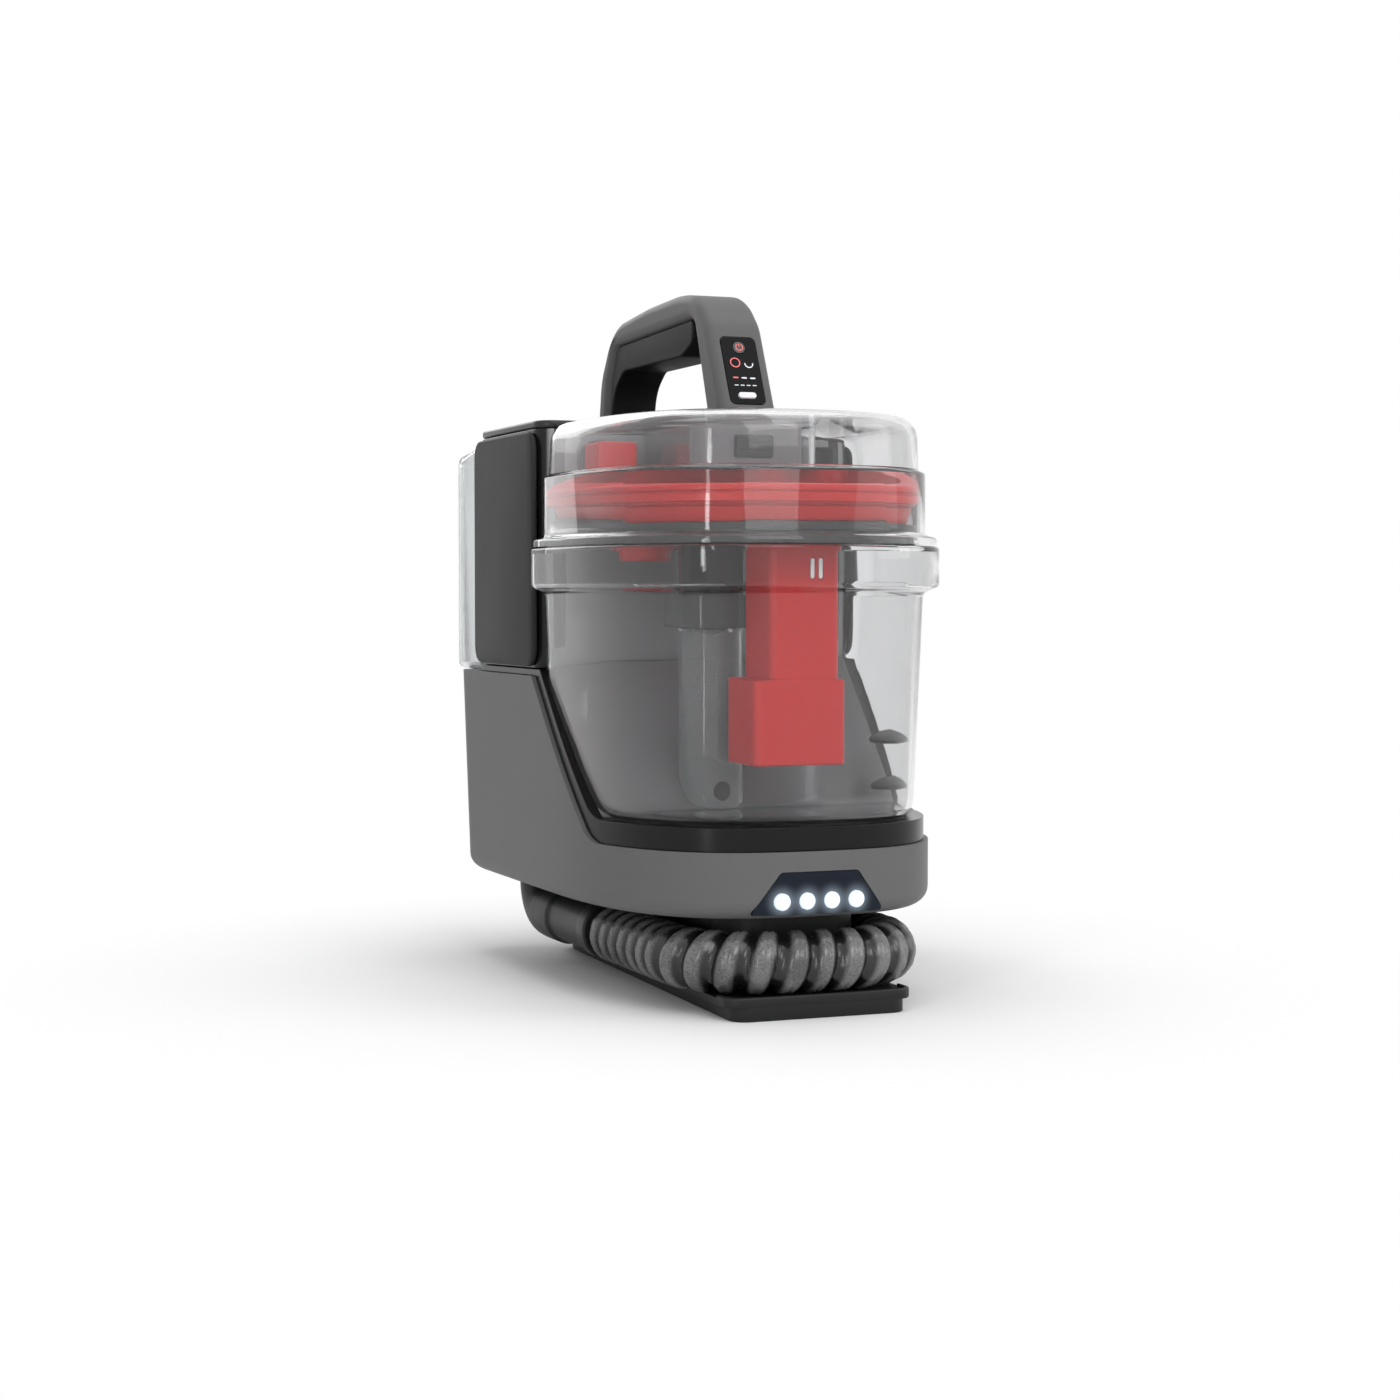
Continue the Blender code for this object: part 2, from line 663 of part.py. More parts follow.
def light_outline(grow=0.0):
    corners = [(-LIGHT_BOTTOM_HALF - grow, LIGHT_BOTTOM - grow), (LIGHT_BOTTOM_HALF + grow, LIGHT_BOTTOM - grow),
               (LIGHT_TOP_HALF + grow, LIGHT_TOP + grow), (-LIGHT_TOP_HALF - grow, LIGHT_TOP + grow)]
    return rounded(corners, [0.002, 0.002, 0.003, 0.003], 3)


def lamp_places():
    first = -LAMP_PITCH * (LAMP_COUNT - 1) / 2
    return [first + LAMP_PITCH * k for k in range(LAMP_COUNT)]


def build_lower_housing():
    flat_drop = TANK_BOTTOM - BAND_TOP
    slope_drop = TRIM_SLOPE_THICKNESS + CRADLE_GAP + GAP
    high = SHELF_TOP + 0.01
    housing = body_stack(housing_sections(0.0, 0.0, high), "lower_housing", GREY)
    outer_line = cradle_line(flat_drop, slope_drop, SHELF_TOP, 0.22)
    cut(housing, profile_cutter(outer_line, high + 0.02))
    lip = 0.0035
    inner_low = [(BODY_BOTTOM - 0.01, BODY_BEND + lip, rear_at(BODY_BOTTOM) - BODY_BEND - lip),
                 (BODY_BOTTOM + 0.004, BODY_BEND + lip, rear_at(BODY_BOTTOM) - BODY_BEND - lip)]
    inner = body_stack(inner_low + housing_sections(WALL, BODY_BOTTOM + 0.005, high), corner=HOUSING_CORNER - WALL)
    inner_line = cradle_line(flat_drop + WALL, slope_drop + WALL, SHELF_TOP - WALL, 0.22)
    cut(inner, profile_cutter(inner_line, high + 0.02))
    cut(housing, inner)
    cut(housing, prism(light_outline(GAP), NOSE_Y - 0.02, LAMP_BOARD_Y + 0.0020, "Y"))
    cut(housing, rod((RISER_X, RISER_Y, SHELF_TOP - 0.01), (RISER_X, RISER_Y, SHELF_TOP + 0.02), DUCT_PIPE_RADIUS + GAP, 24))
    cut(housing, valve_barb(SHELF_TOP - 0.01, SHELF_TOP + 0.01, VALVE_BARB_RADIUS + GAP))
    for k in range(6):
        slot_z = 0.0800 + 0.0085 * k
        cut(housing, box((-0.045, 0.125, slot_z), (0.045, 0.175, slot_z + 0.0038)))
    cut(housing, box((0.058, 0.120, 0.0675), (0.082, 0.175, 0.0865)))
    return housing


def build_bottom_plate():
    inset = BODY_BEND + 0.0035 + GAP
    low = BODY_BOTTOM + GAP
    rear = rear_at(BODY_BOTTOM) - inset
    plate = body_stack([(low, inset), (low + 0.0035, inset)], "bottom_plate", DARK, rear)
    cut(plate, rod((RISER_X, RISER_Y, 0.0), (RISER_X, RISER_Y, 0.08), HOSE_BORE_RADIUS + 0.0006, 24))
    return plate


def build_light_panel():
    # curved dark panel set in the nose, with a round window for each lamp
    panel = prism(light_outline(), NOSE_Y - 0.02, NOSE_Y + 0.02, "Y", "light_panel", DARK)
    front = 0.0004
    shell = body_stack([(0.04, front), (0.09, front)])
    cut(shell, body_stack([(0.03, front + LIGHT_THICKNESS), (0.10, front + LIGHT_THICKNESS)]))
    combine(panel, shell, "INTERSECT")
    for x in lamp_places():
        cut(panel, rod((x, NOSE_Y - 0.02, LAMP_Z), (x, NOSE_Y + 0.02, LAMP_Z), LAMP_RADIUS + GAP, 16))
    return panel


def build_lamp_lens():
    # one clear moulding: a bar behind the panel and a dome through each window
    back = LAMP_BOARD_Y - GAP
    half = LAMP_PITCH * (LAMP_COUNT - 1) / 2 + LAMP_RADIUS + 0.002
    lens = box((-half, back - 0.0016, LAMP_Z - 0.0050), (half, back, LAMP_Z + 0.0050), "lamp_lens", LAMP)
    for x in lamp_places():
        profile = [(0.0, back - 0.001), (LAMP_RADIUS, back - 0.001), (LAMP_RADIUS, NOSE_Y + 0.0006),
                   (LAMP_RADIUS * 0.7, NOSE_Y - 0.0006), (0.0, NOSE_Y - 0.0011)]
        join(lens, ring_profile((x, 0, LAMP_Z), profile, 12, axis="Y"))
    return lens


LAMP_BOARD_Y = NOSE_Y + 0.0100


def build_lamp_board():
    half = LAMP_PITCH * LAMP_COUNT / 2 + 0.002
    top = LIGHT_TOP - 0.002
    low = BODY_BOTTOM + GAP + 0.0035 + GAP
    return box((-half, LAMP_BOARD_Y, low), (half, LAMP_BOARD_Y + 0.0016, top), "lamp_board", BOARD)


def build_cradle_trim():
    # black tray that the dirty tank sits in; its rear end is the floor under the tower
    trim = body_stack([(0.06, 0.0022), (0.19, 0.0022)], "cradle_trim", DARK, TOWER_REAR_Y, 0.010)
    upper = cradle_line(CRADLE_GAP, CRADLE_GAP, DECK_TOP, 0.2)
    flat_drop = TANK_BOTTOM - BAND_TOP - GAP
    lower = cradle_line(flat_drop, TRIM_SLOPE_THICKNESS + CRADLE_GAP, SHELF_TOP + GAP, 0.2)
    band = prism(list(upper) + list(reversed(lower)), -0.2, 0.2, "X")
    combine(trim, band, "INTERSECT")
    cut(trim, rod((RISER_X, RISER_Y, 0.15), (RISER_X, RISER_Y, 0.18), DUCT_PIPE_RADIUS + GAP, 24))
    cut(trim, valve_barb(0.15, 0.18, VALVE_BARB_RADIUS + GAP))
    return trim


def build_appliance_inlet():
    # two-pin socket for a supply lead, set in the rear wall
    low = (0.058 + GAP, 0.0680 + 0.0765, 0.0675 + GAP)
    high = (0.082 - GAP, rear_at(0.0675) + 0.0010, 0.0865 - GAP)
    inlet = box((low[0], high[1] - 0.016, low[2]), high, "appliance_inlet", DARK)
    socket = rounded_box_outline((low[0] + 0.003, low[2] + 0.004), (high[0] - 0.003, high[2] - 0.004), 0.004)
    cut(inlet, prism(socket, high[1] - 0.012, high[1] + 0.01, "Y"))
    for x in (0.0665, 0.0735):
        middle = (low[2] + high[2]) / 2
        join(inlet, rod((x, high[1] - 0.014, middle), (x, high[1] - 0.003, middle), 0.0012, 8))
    return inlet


# ---------------------------------------------------------------- tower, deck and handle

def build_tower_shell():
    base = DECK_TOP + GAP
    outer = rounded_box_outline((-TOWER_HALF, TOWER_FRONT_Y), (TOWER_HALF, TOWER_REAR_Y), TOWER_CORNER, 5)
    inner = rounded_box_outline((-TOWER_HALF + WALL, TOWER_FRONT_Y + WALL),
                                (TOWER_HALF - WALL, TOWER_REAR_Y - WALL), TOWER_CORNER - WALL, 5)
    tower = prism(outer, base, TOWER_TOP, "Z", "tower_shell", DARK)
    cut(tower, prism(inner, base - 0.01, TOWER_TOP - WALL))
    for x in (-PORT_X, PORT_X):
        cut(tower, rod((x, TOWER_FRONT_Y - 0.01, PORT_Z), (x, TOWER_FRONT_Y + 0.01, PORT_Z), DUCT_PIPE_RADIUS + GAP, 24))
    cut(tower, rod((VALVE_X, TOWER_REAR_Y - 0.01, VALVE_Z), (VALVE_X, TOWER_REAR_Y + 0.01, VALVE_Z), VALVE_RADIUS + 0.0012, 16))
    return tower


def build_side_panel(side):
    outline = rounded_box_outline((TOWER_FRONT_Y + PANEL_EDGE, DECK_TOP + 0.0015),
                                  (TOWER_REAR_Y - PANEL_EDGE, TOWER_TOP - 0.0015), 0.010, 5)
    inner = TOWER_HALF + GAP
    outer = TOWER_HALF + GAP + PANEL_THICKNESS
    face = [(0.0, inner), (0.0, outer - 0.0012), (0.0012, outer)]
    loops = []
    middle = Vector((sum(p[0] for p in outline), sum(p[1] for p in outline))) / len(outline)
    for shrink, x in face:
        loop = []
        for y, z in outline:
            away = Vector((y, z)) - middle
            scale = (1 - shrink / 0.055, 1 - shrink / 0.062)
            loop.append((side * x, middle.x + away.x * scale[0], middle.y + away.y * scale[1]))
        loops.append(loop)
    return loft(loops, "left_panel" if side < 0 else "right_panel", PANEL)


DECK_LOW = TOWER_TOP + GAP
DECK_HIGH = TOWER_TOP + GAP + DECK_PLATE


def build_top_deck():
    # deck over the tower with the bridge that reaches over the tank's lid
    corners = [(-TOWER_HALF, TOWER_FRONT_Y), (TOWER_HALF, TOWER_FRONT_Y), (TOWER_HALF, TOWER_REAR_Y),
               (BRIDGE_HALF, TOWER_REAR_Y), (BRIDGE_HALF - 0.006, DECK_REAR_Y), (-BRIDGE_HALF + 0.006, DECK_REAR_Y),
               (-BRIDGE_HALF, TOWER_REAR_Y), (-TOWER_HALF, TOWER_REAR_Y)]
    outline = rounded(corners, [0.010, 0.010, 0.010, 0.004, 0.006, 0.006, 0.004, 0.010], 4)
    deck = prism(outline, DECK_LOW, DECK_HIGH, "Z", "top_deck", GREY)
    bottom = DECK_HIGH - BRIDGE_DEPTH
    rear = TOWER_FRONT_Y - GAP
    arm_outline = rounded([(-BRIDGE_HALF, BRIDGE_FRONT_Y), (BRIDGE_HALF, BRIDGE_FRONT_Y), (BRIDGE_HALF, rear),
                           (-BRIDGE_HALF, rear)], [0.010, 0.010, 0, 0], 5)
    join(deck, prism(arm_outline, bottom, DECK_HIGH - 0.0004))
    strap = [(-BRIDGE_HALF + 0.001, rear - 0.010), (BRIDGE_HALF - 0.001, rear - 0.010),
             (BRIDGE_HALF - 0.001, TOWER_FRONT_Y + 0.02), (-BRIDGE_HALF + 0.001, TOWER_FRONT_Y + 0.02)]
    join(deck, prism(strap, DECK_LOW, DECK_HIGH - 0.0008))
    hollow = rounded_box_outline((-BRIDGE_HALF + BRIDGE_WALL, BRIDGE_FRONT_Y + BRIDGE_WALL),
                                 (BRIDGE_HALF - BRIDGE_WALL, rear - BRIDGE_WALL), 0.007, 4)
    cut(deck, prism(hollow, bottom - 0.01, DECK_HIGH - 0.006))
    pocket_low = (-LATCH_HALF - GAP, BRIDGE_FRONT_Y - 0.01, LATCH_LOW - GAP)
    cut(deck, box(pocket_low, (LATCH_HALF + GAP, BRIDGE_FRONT_Y + BRIDGE_WALL + 0.01, LATCH_HIGH + GAP)))
    return deck


LATCH_HALF = 0.0105
LATCH_LOW = 0.2800
LATCH_HIGH = 0.2920
LATCH_TRAVEL = 0.0020


def build_tank_latch():
    front = BRIDGE_FRONT_Y - LATCH_TRAVEL - 0.0005
    rear = BRIDGE_FRONT_Y + BRIDGE_WALL + 0.0020
    latch = box((-LATCH_HALF, front, LATCH_LOW), (LATCH_HALF, rear, LATCH_HIGH), "tank_latch", DARK, 0.0010, 2)
    set_origin(latch, (0, front, (LATCH_LOW + LATCH_HIGH) / 2))
    return latch


def handle_outline():
    base = DECK_HIGH + GAP
    outer = [(-0.0735, base), (-0.0510, 0.3510), (-0.0340, 0.3672), (-0.0080, 0.3708), (0.0420, 0.3690),
             (0.0980, 0.3640), (0.1190, 0.3350), (0.1245, base)]
    inner = [(0.1090, base), (0.1050, 0.3300), (0.0950, 0.3520), (-0.0300, 0.3560), (-0.0500, base)]
    radii = [0, 0.012, 0.020, 0.040, 0.060, 0.022, 0.020, 0]
    inner_radii = [0, 0.010, 0.008, 0.010, 0]
    return rounded(outer + inner, radii + inner_radii, 4)


def handle_face():
    # foot and direction of the slanted front face that carries the display
    foot = Vector((0, -0.0735, DECK_HIGH + GAP))
    head = Vector((0, -0.0510, 0.3510))
    along = (head - foot).normalized()
    outward = Vector((0, -along.z, along.y))
    return foot, along, outward


def face_box(width_half, start, end, low, high, name="tool", look=None, bevel=0.0):
    # block laid on the slanted face: start..end along it, low..high out of it
    foot, along, outward = handle_face()
    build = bmesh.new()
    bmesh.ops.create_cube(build, size=1.0)
    size = (2 * width_half, end - start, high - low)
    bmesh.ops.scale(build, vec=size, verts=build.verts)
    if bevel:
        upright = [edge for edge in build.edges if abs((edge.verts[0].co - edge.verts[1].co).z) > 1e-6]
        bmesh.ops.bevel(build, geom=upright, offset=bevel, segments=3, affect="EDGES", profile=0.5)
    turn = Matrix((Vector((1, 0, 0)), along, outward)).transposed().to_4x4()
    place = Matrix.Translation(foot + along * (start + end) / 2 + outward * (low + high) / 2)
    bmesh.ops.transform(build, matrix=place @ turn, verts=build.verts)
    return finish(build, name, look)


def build_handle_shell():
    handle = prism(handle_outline(), -HANDLE_HALF, HANDLE_HALF, "X")
    build = bmesh.new()
    build.from_mesh(handle.data)
    bpy.data.objects.remove(handle, do_unlink=True)
    rim = []
    base = DECK_HIGH + GAP
    for edge in build.edges:
        a, b = (v.co for v in edge.verts)
        if abs(a.x - b.x) < 1e-6 and not (a.z < base + 1e-5 and b.z < base + 1e-5):
            rim.append(edge)
    bmesh.ops.bevel(build, geom=rim, offset=HANDLE_EDGE, segments=2, affect="EDGES", profile=0.5, clamp_overlap=True)
    shell = finish(build, "handle_shell", GREY)
    pocket = face_box(DISPLAY_HALF + GAP, DISPLAY_START - GAP, DISPLAY_START + DISPLAY_LENGTH + GAP,
                      -DISPLAY_DEPTH - GAP, 0.01, bevel=0.003)
    cut(shell, pocket)
    for half, middle, reach in key_places():
        cut(shell, face_box(half + GAP, middle - reach - GAP, middle + reach + GAP, -KEY_DEPTH - KEY_TRAVEL - GAP, 0.01,
                            bevel=reach * 0.9))
    return shell


KEY_DEPTH = 0.0040


def key_places():
    # half width, centre along the face, half length: a bar key low down and a round key at the top
    return [(0.0050, DISPLAY_START + 0.0050, 0.0017), (0.0034, DISPLAY_START + DISPLAY_LENGTH - 0.0065, 0.0034)]


def build_display_panel():
    panel = face_box(DISPLAY_HALF, DISPLAY_START, DISPLAY_START + DISPLAY_LENGTH, -DISPLAY_DEPTH, 0.0002,
                     "display_panel", DARK, bevel=0.003)
    for half, middle, reach in key_places():
        cut(panel, face_box(half + GAP, middle - reach - GAP, middle + reach + GAP, -0.01, 0.01, bevel=reach * 0.9))
    return panel


def build_key(name, place):
    half, middle, reach = place
    key = face_box(half, middle - reach, middle + reach, -KEY_DEPTH, KEY_PROUD - 0.0004, name, WHITE, bevel=reach * 0.9)
    foot, along, outward = handle_face()
    set_origin(key, foot + along * middle)
    return key


def build_handle_grip():
    # dark liner under the arch and down the inside of the rear post
    base = DECK_HIGH + GAP
    outer = [(0.1090 - GAP, base + 0.0015), (0.1050 - GAP, 0.3300 - GAP), (0.0950 - GAP, 0.3520 - GAP),
             (-0.0300 + 0.004, 0.3560 - 0.0004)]
    inner = [(-0.0240, 0.3430), (-0.0080, 0.3372), (0.0840, 0.3372), (0.0995, 0.3270), (0.1060, base + 0.0015)]
    outline = rounded(outer + inner, [0, 0.0098, 0.0078, 0.004, 0.006, 0.02, 0.012, 0.02, 0], 4)
    return prism(outline, -GRIP_HALF, GRIP_HALF, "X", "handle_grip", RUBBER)


# ---------------------------------------------------------------- dirty tank

def build_tank_bucket():
    draft_low = TANK_DRAFT_LOW
    draft_high = TANK_DRAFT_HIGH
    outer = [(TANK_BOTTOM - 0.002, draft_low + 0.0062), (TANK_BOTTOM + 0.0010, draft_low + 0.0030),
             (TANK_BOTTOM + 0.0050, draft_low + 0.0004), (TANK_BOTTOM + 0.0100, draft_low),
             (COLLAR_LOW, draft_high), (COLLAR_LOW + COLLAR_BEND, -COLLAR_PROUD), (BUCKET_TOP - 0.001, -COLLAR_PROUD),
             (BUCKET_TOP, -COLLAR_PROUD + 0.001)]
    wall = CLEAR_WALL
    step = BUCKET_TOP - RIM_SHELF_THICKNESS
    inner = [(TANK_BOTTOM - 0.001, draft_low + 0.0040 + wall), (TANK_BOTTOM + 0.0090, draft_low + wall),
             (COLLAR_LOW + wall * 0.6, draft_high + wall), (COLLAR_LOW + COLLAR_BEND + wall * 0.6, -COLLAR_PROUD + wall),
             (step, -COLLAR_PROUD + wall)]
    bucket = body_stack(outer, "tank_bucket", CLEAR, TANK_REAR_Y, TANK_CORNER)
    base_line = cradle_line(0.0, 0.0)
    floor_cut = list(base_line) + [(base_line[-1][0], 0.0), (base_line[0][0], 0.0)]
    cut(bucket, prism(floor_cut, -0.2, 0.2, "X"))
    hollow = body_stack(inner, rear=TANK_REAR_Y - wall, corner=TANK_CORNER - wall)
    inner_line = cradle_line(-wall, -wall, fillet=CRADLE_FILLET - wall)
    inner_cut = list(inner_line) + [(inner_line[-1][0], 0.0), (inner_line[0][0], 0.0)]
    cut(hollow, prism(inner_cut, -0.2, 0.2, "X"))
    cut(bucket, hollow)
    mouth = body_stack([(step - 0.004, RIM_SHELF), (BUCKET_TOP + 0.01, RIM_SHELF)], rear=TANK_REAR_Y - 0.0075, corner=0.008)
    cut(bucket, mouth)
    return bucket


LID_WALL = 0.0022


def lid_sections(shrink=0.0):
    # skirt, wall, ledge, then the dome with a rounded top edge
    return [(LID_BOTTOM, -0.0038 + shrink), (LID_BOTTOM + 0.0034, -0.0038 + shrink), (LID_BOTTOM + 0.0052, 0.0018 + shrink),
            (LID_LEDGE, 0.0018 + shrink), (LID_LEDGE + 0.0018, 0.0050 + shrink), (LID_TOP - 0.0110, 0.0058 + shrink),
            (LID_TOP - 0.0050, 0.0078 + shrink), (LID_TOP - 0.0014, 0.0118 + shrink), (LID_TOP, 0.0170 + shrink)]


def build_tank_lid():
    lid = body_stack(lid_sections(), "tank_lid", CLEAR, TANK_REAR_Y, TANK_CORNER)
    notch_half = BRIDGE_HALF + NOTCH_CLEARANCE
    corners = [(-notch_half, NOTCH_FRONT_Y), (notch_half, NOTCH_FRONT_Y), (notch_half, 0.05), (-notch_half, 0.05)]
    cut(lid, prism(rounded(corners, [0.012, 0.012, 0, 0], 5), NOTCH_FLOOR, LID_TOP + 0.02))
    inside = [(LID_BOTTOM - 0.01, 0.0018 + LID_WALL), (LID_LEDGE - 0.0010, 0.0018 + LID_WALL),
              (LID_LEDGE + 0.0010, 0.0050 + LID_WALL), (LID_TOP - 0.0100, 0.0060 + LID_WALL),
              (LID_TOP - 0.0050, 0.0090 + LID_WALL), (LID_TOP - LID_WALL, 0.0160 + LID_WALL)]
    hollow = body_stack(inside, rear=TANK_REAR_Y - LID_WALL, corner=TANK_CORNER - LID_WALL)
    wide = notch_half + LID_WALL
    corners = [(-wide, NOTCH_FRONT_Y - LID_WALL), (wide, NOTCH_FRONT_Y - LID_WALL), (wide, 0.05), (-wide, 0.05)]
    cut(hollow, prism(rounded(corners, [0.014, 0.014, 0, 0], 5), NOTCH_FLOOR - LID_WALL, LID_TOP + 0.02))
    cut(lid, hollow)
    for x in (-PORT_X, PORT_X):
        cut(lid, rod((x, TANK_REAR_Y - 0.01, PORT_Z), (x, TANK_REAR_Y + 0.01, PORT_Z), PORT_RADIUS, 20))
    return lid


def ring_rear(inset):
    return TANK_REAR_Y - LID_WALL - 0.0006 - inset


def build_tank_seal():
    # lip seal that stands on the bucket's rim shelf under the separator ring
    low = BUCKET_TOP + GAP
    high = RING_BOTTOM - GAP
    middle = (low + high) / 2
    outer = [(low, 0.0062), (middle, 0.0074), (high, 0.0062)]
    seal = body_stack(outer, "tank_seal", RUBBER, TANK_REAR_Y - 0.0040, 0.010)
    cut(seal, body_stack([(low - 0.01, 0.0112), (high + 0.01, 0.0112)], rear=TANK_REAR_Y - 0.0075, corner=0.007))
    return seal


def build_separator_ring():
    # wide upper flange, tapered lower part and a web that carries duct, float cage and funnel
    flange = 0.0046
    outer = [(RING_BOTTOM, 0.0105), (RING_BOTTOM + 0.0085, 0.0080), (RING_BOTTOM + 0.0100, flange), (RING_TOP, flange)]
    ring = body_stack(outer, "separator_ring", RED, ring_rear(0.0), 0.009)
    pocket = [(RING_BOTTOM + WEB_THICKNESS, flange + RING_WIDTH), (RING_TOP + 0.01, flange + RING_WIDTH - 0.002)]
    cut(ring, body_stack(pocket, rear=ring_rear(0.004), corner=0.008))
    cut(ring, prism(duct_outline(-DUCT_WALL), RING_BOTTOM - 0.01, RING_TOP))
    join(ring, box((0.030, -0.128, RING_BOTTOM - 0.0125), (0.051, -0.108, RING_BOTTOM + 0.001)))
    cut(ring, rod((PIPE_X, PIPE_Y, RING_BOTTOM - 0.01), (PIPE_X, PIPE_Y, RING_TOP), FLOAT_PORT_RADIUS, 24))
    cut(ring, rod((FUNNEL_X, FUNNEL_Y, RING_BOTTOM - 0.01), (FUNNEL_X, FUNNEL_Y, RING_TOP), 0.0085, 20))
    return ring


def duct_outline(grow=0.0):
    return rounded_box_outline((DUCT_X - DUCT_HALF_X - grow, DUCT_Y - DUCT_HALF_Y - grow),
                               (DUCT_X + DUCT_HALF_X + grow, DUCT_Y + DUCT_HALF_Y + grow), 0.004 + grow / 2, 3)


def foot_outline(grow=0.0):
    return rounded_box_outline((DUCT_FOOT_X - DUCT_FOOT_HALF_X - grow, DUCT_Y - DUCT_FOOT_HALF_Y - grow),
                               (DUCT_FOOT_X + DUCT_FOOT_HALF_X + grow, DUCT_Y + DUCT_FOOT_HALF_Y + grow),
                               0.004 + grow / 2, 3)


def build_separator_duct():
    # duct under the ring that widens into an open box at its foot
    wall = DUCT_WALL
    top = RING_BOTTOM - GAP
    outer = [(DUCT_FOOT_BOTTOM, foot_outline()), (DUCT_FOOT_TOP - 0.0020, foot_outline()),
             (DUCT_FOOT_TOP - 0.0002, foot_outline(-0.0008)), (DUCT_FOOT_TOP, duct_outline()), (top, duct_outline())]
    inner = [(DUCT_FOOT_BOTTOM - 0.01, foot_outline(-wall)), (DUCT_FOOT_TOP - 0.0045, foot_outline(-wall)),
             (DUCT_FOOT_TOP - 0.0020, duct_outline(-wall)), (top + 0.01, duct_outline(-wall))]
    duct = loft([[(x, y, z) for x, y in outline] for z, outline in outer], "separator_duct", RED)
    cut(duct, loft([[(x, y, z) for x, y in outline] for z, outline in inner]))
    return duct


def build_standpipe():
    # clear pipe that stands on the tank's floor, its foot cut to the floor's slope; the float seats on its lip
    outer = PIPE_RADIUS
    inner = PIPE_RADIUS - PIPE_WALL
    seat = FLOAT_SEAT_RADIUS
    profile = [(inner, TANK_BOTTOM), (outer, TANK_BOTTOM), (outer, PIPE_TOP), (seat, PIPE_TOP), (seat, PIPE_TOP - 0.002),
               (inner, PIPE_TOP - 0.002)]
    pipe = ring_profile((PIPE_X, PIPE_Y, 0), profile, 20, "standpipe", CLEAR)
    lift = -CLEAR_WALL - GAP
    floor = cradle_line(lift, lift, fillet=CRADLE_FILLET + lift)
    cut(pipe, prism(list(floor) + [(floor[-1][0], 0.0), (floor[0][0], 0.0)], -0.2, 0.2, "X"))
    front = Vector((PIPE_X, PIPE_Y, TANK_BOTTOM + 0.012))
    cut(pipe, rod(front, front - Vector((0, 0.03, 0)), 0.0050, 12))
    return pipe


def build_float_cage():
    # collar over the standpipe's lip, a guide tube with tall windows above it
    inner = CAGE_RADIUS - CAGE_WALL
    collar = CAGE_COLLAR_RADIUS
    low = PIPE_TOP + GAP
    high = RING_BOTTOM - GAP
    profile = [(inner, low), (collar, low), (collar, CAGE_COLLAR_TOP), (CAGE_RADIUS, CAGE_COLLAR_TOP + 0.002),
               (CAGE_RADIUS, high), (inner, high)]
    cage = ring_profile((PIPE_X, PIPE_Y, 0), profile, 20, "float_cage", PANEL)
    centre = Vector((PIPE_X, PIPE_Y))
    for k in range(2):
        angle = math.pi / 4 + math.pi / 2 * k
        way = Vector((math.cos(angle), math.sin(angle))) * 0.03
        side = Vector((-way.y, way.x)) * 0.17
        corners = [centre + way + side, centre - way + side, centre - way - side, centre + way - side]
        cut(cage, prism(corners, CAGE_COLLAR_TOP + 0.004, high - 0.005))
    return cage


FLOAT_REST_Z = PIPE_TOP + GAP + math.sqrt(FLOAT_RADIUS ** 2 - FLOAT_SEAT_RADIUS ** 2)


def build_float_ball():
    build = bmesh.new()
    bmesh.ops.create_uvsphere(build, u_segments=16, v_segments=10, radius=FLOAT_RADIUS)
    ball = finish(build, "float_ball", PANEL)
    ball.location = (PIPE_X, PIPE_Y, FLOAT_REST_Z)
    return ball


def build_inlet_funnel():
    # short red chute under the inlet elbow
    top = RING_BOTTOM - GAP
    bottom = top - 0.0190
    profile = [(0.0085, top), (0.0190, top), (0.0175, top - 0.008), (0.0130, bottom), (0.0100, bottom)]
    return ring_profile((FUNNEL_X, FUNNEL_Y, 0), profile, 18, "inlet_funnel", RED)


def build_elbow(name, side, look):
    # port elbow that stands on the ring, open to the rear port and open below
    low = RING_TOP + GAP
    high = PORT_Z + ELBOW_HALF
    rear = TANK_REAR_Y - LID_WALL - GAP
    x = side * PORT_X
    elbow = box((x - ELBOW_HALF, ELBOW_FRONT_Y, low), (x + ELBOW_HALF, rear, high), name, look, 0.0015, 2)
    cut(elbow, rod((x, ELBOW_FRONT_Y + 0.006, PORT_Z), (x, rear + 0.01, PORT_Z), PORT_RADIUS, 20))
    cut(elbow, box((x - 0.0065, ELBOW_FRONT_Y + 0.0045, low - 0.01), (x + 0.0065, rear - 0.0055, PORT_Z)))
    return elbow


def build_splash_fin(name, z, start, end):
    # curved fin on the tank's right wall
    share = (z - TANK_BOTTOM - 0.0100) / (COLLAR_LOW - TANK_BOTTOM - 0.0100)
    draft = TANK_DRAFT_LOW + (TANK_DRAFT_HIGH - TANK_DRAFT_LOW) * share
    outer = []
    inner = []
    steps = 6
    for k in range(steps + 1):
        y = start + (end - start) * k / steps
        wall = wall_x(y, draft + CLEAR_WALL + 0.0004)
        depth = 0.020 * math.sin(math.pi * (0.12 + 0.76 * k / steps))
        outer.append((wall, y))
        inner.append((wall - depth, y))
    outline = outer + list(reversed(inner))
    loops = [[(x, y, height - 0.12 * (0.09 - x)) for x, y in outline] for height in (z, z + 0.0018)]
    return loft(loops, name, PANEL)


def wall_x(y, inset):
    half = BODY_HALF_WIDTH - inset
    length = NOSE_LENGTH - inset
    share = min(1.0, abs(y - FLANK_Y) / length)
    return half * (1 - share ** NOSE_POWER) ** (1 / NOSE_POWER)


# ---------------------------------------------------------------- clean tank

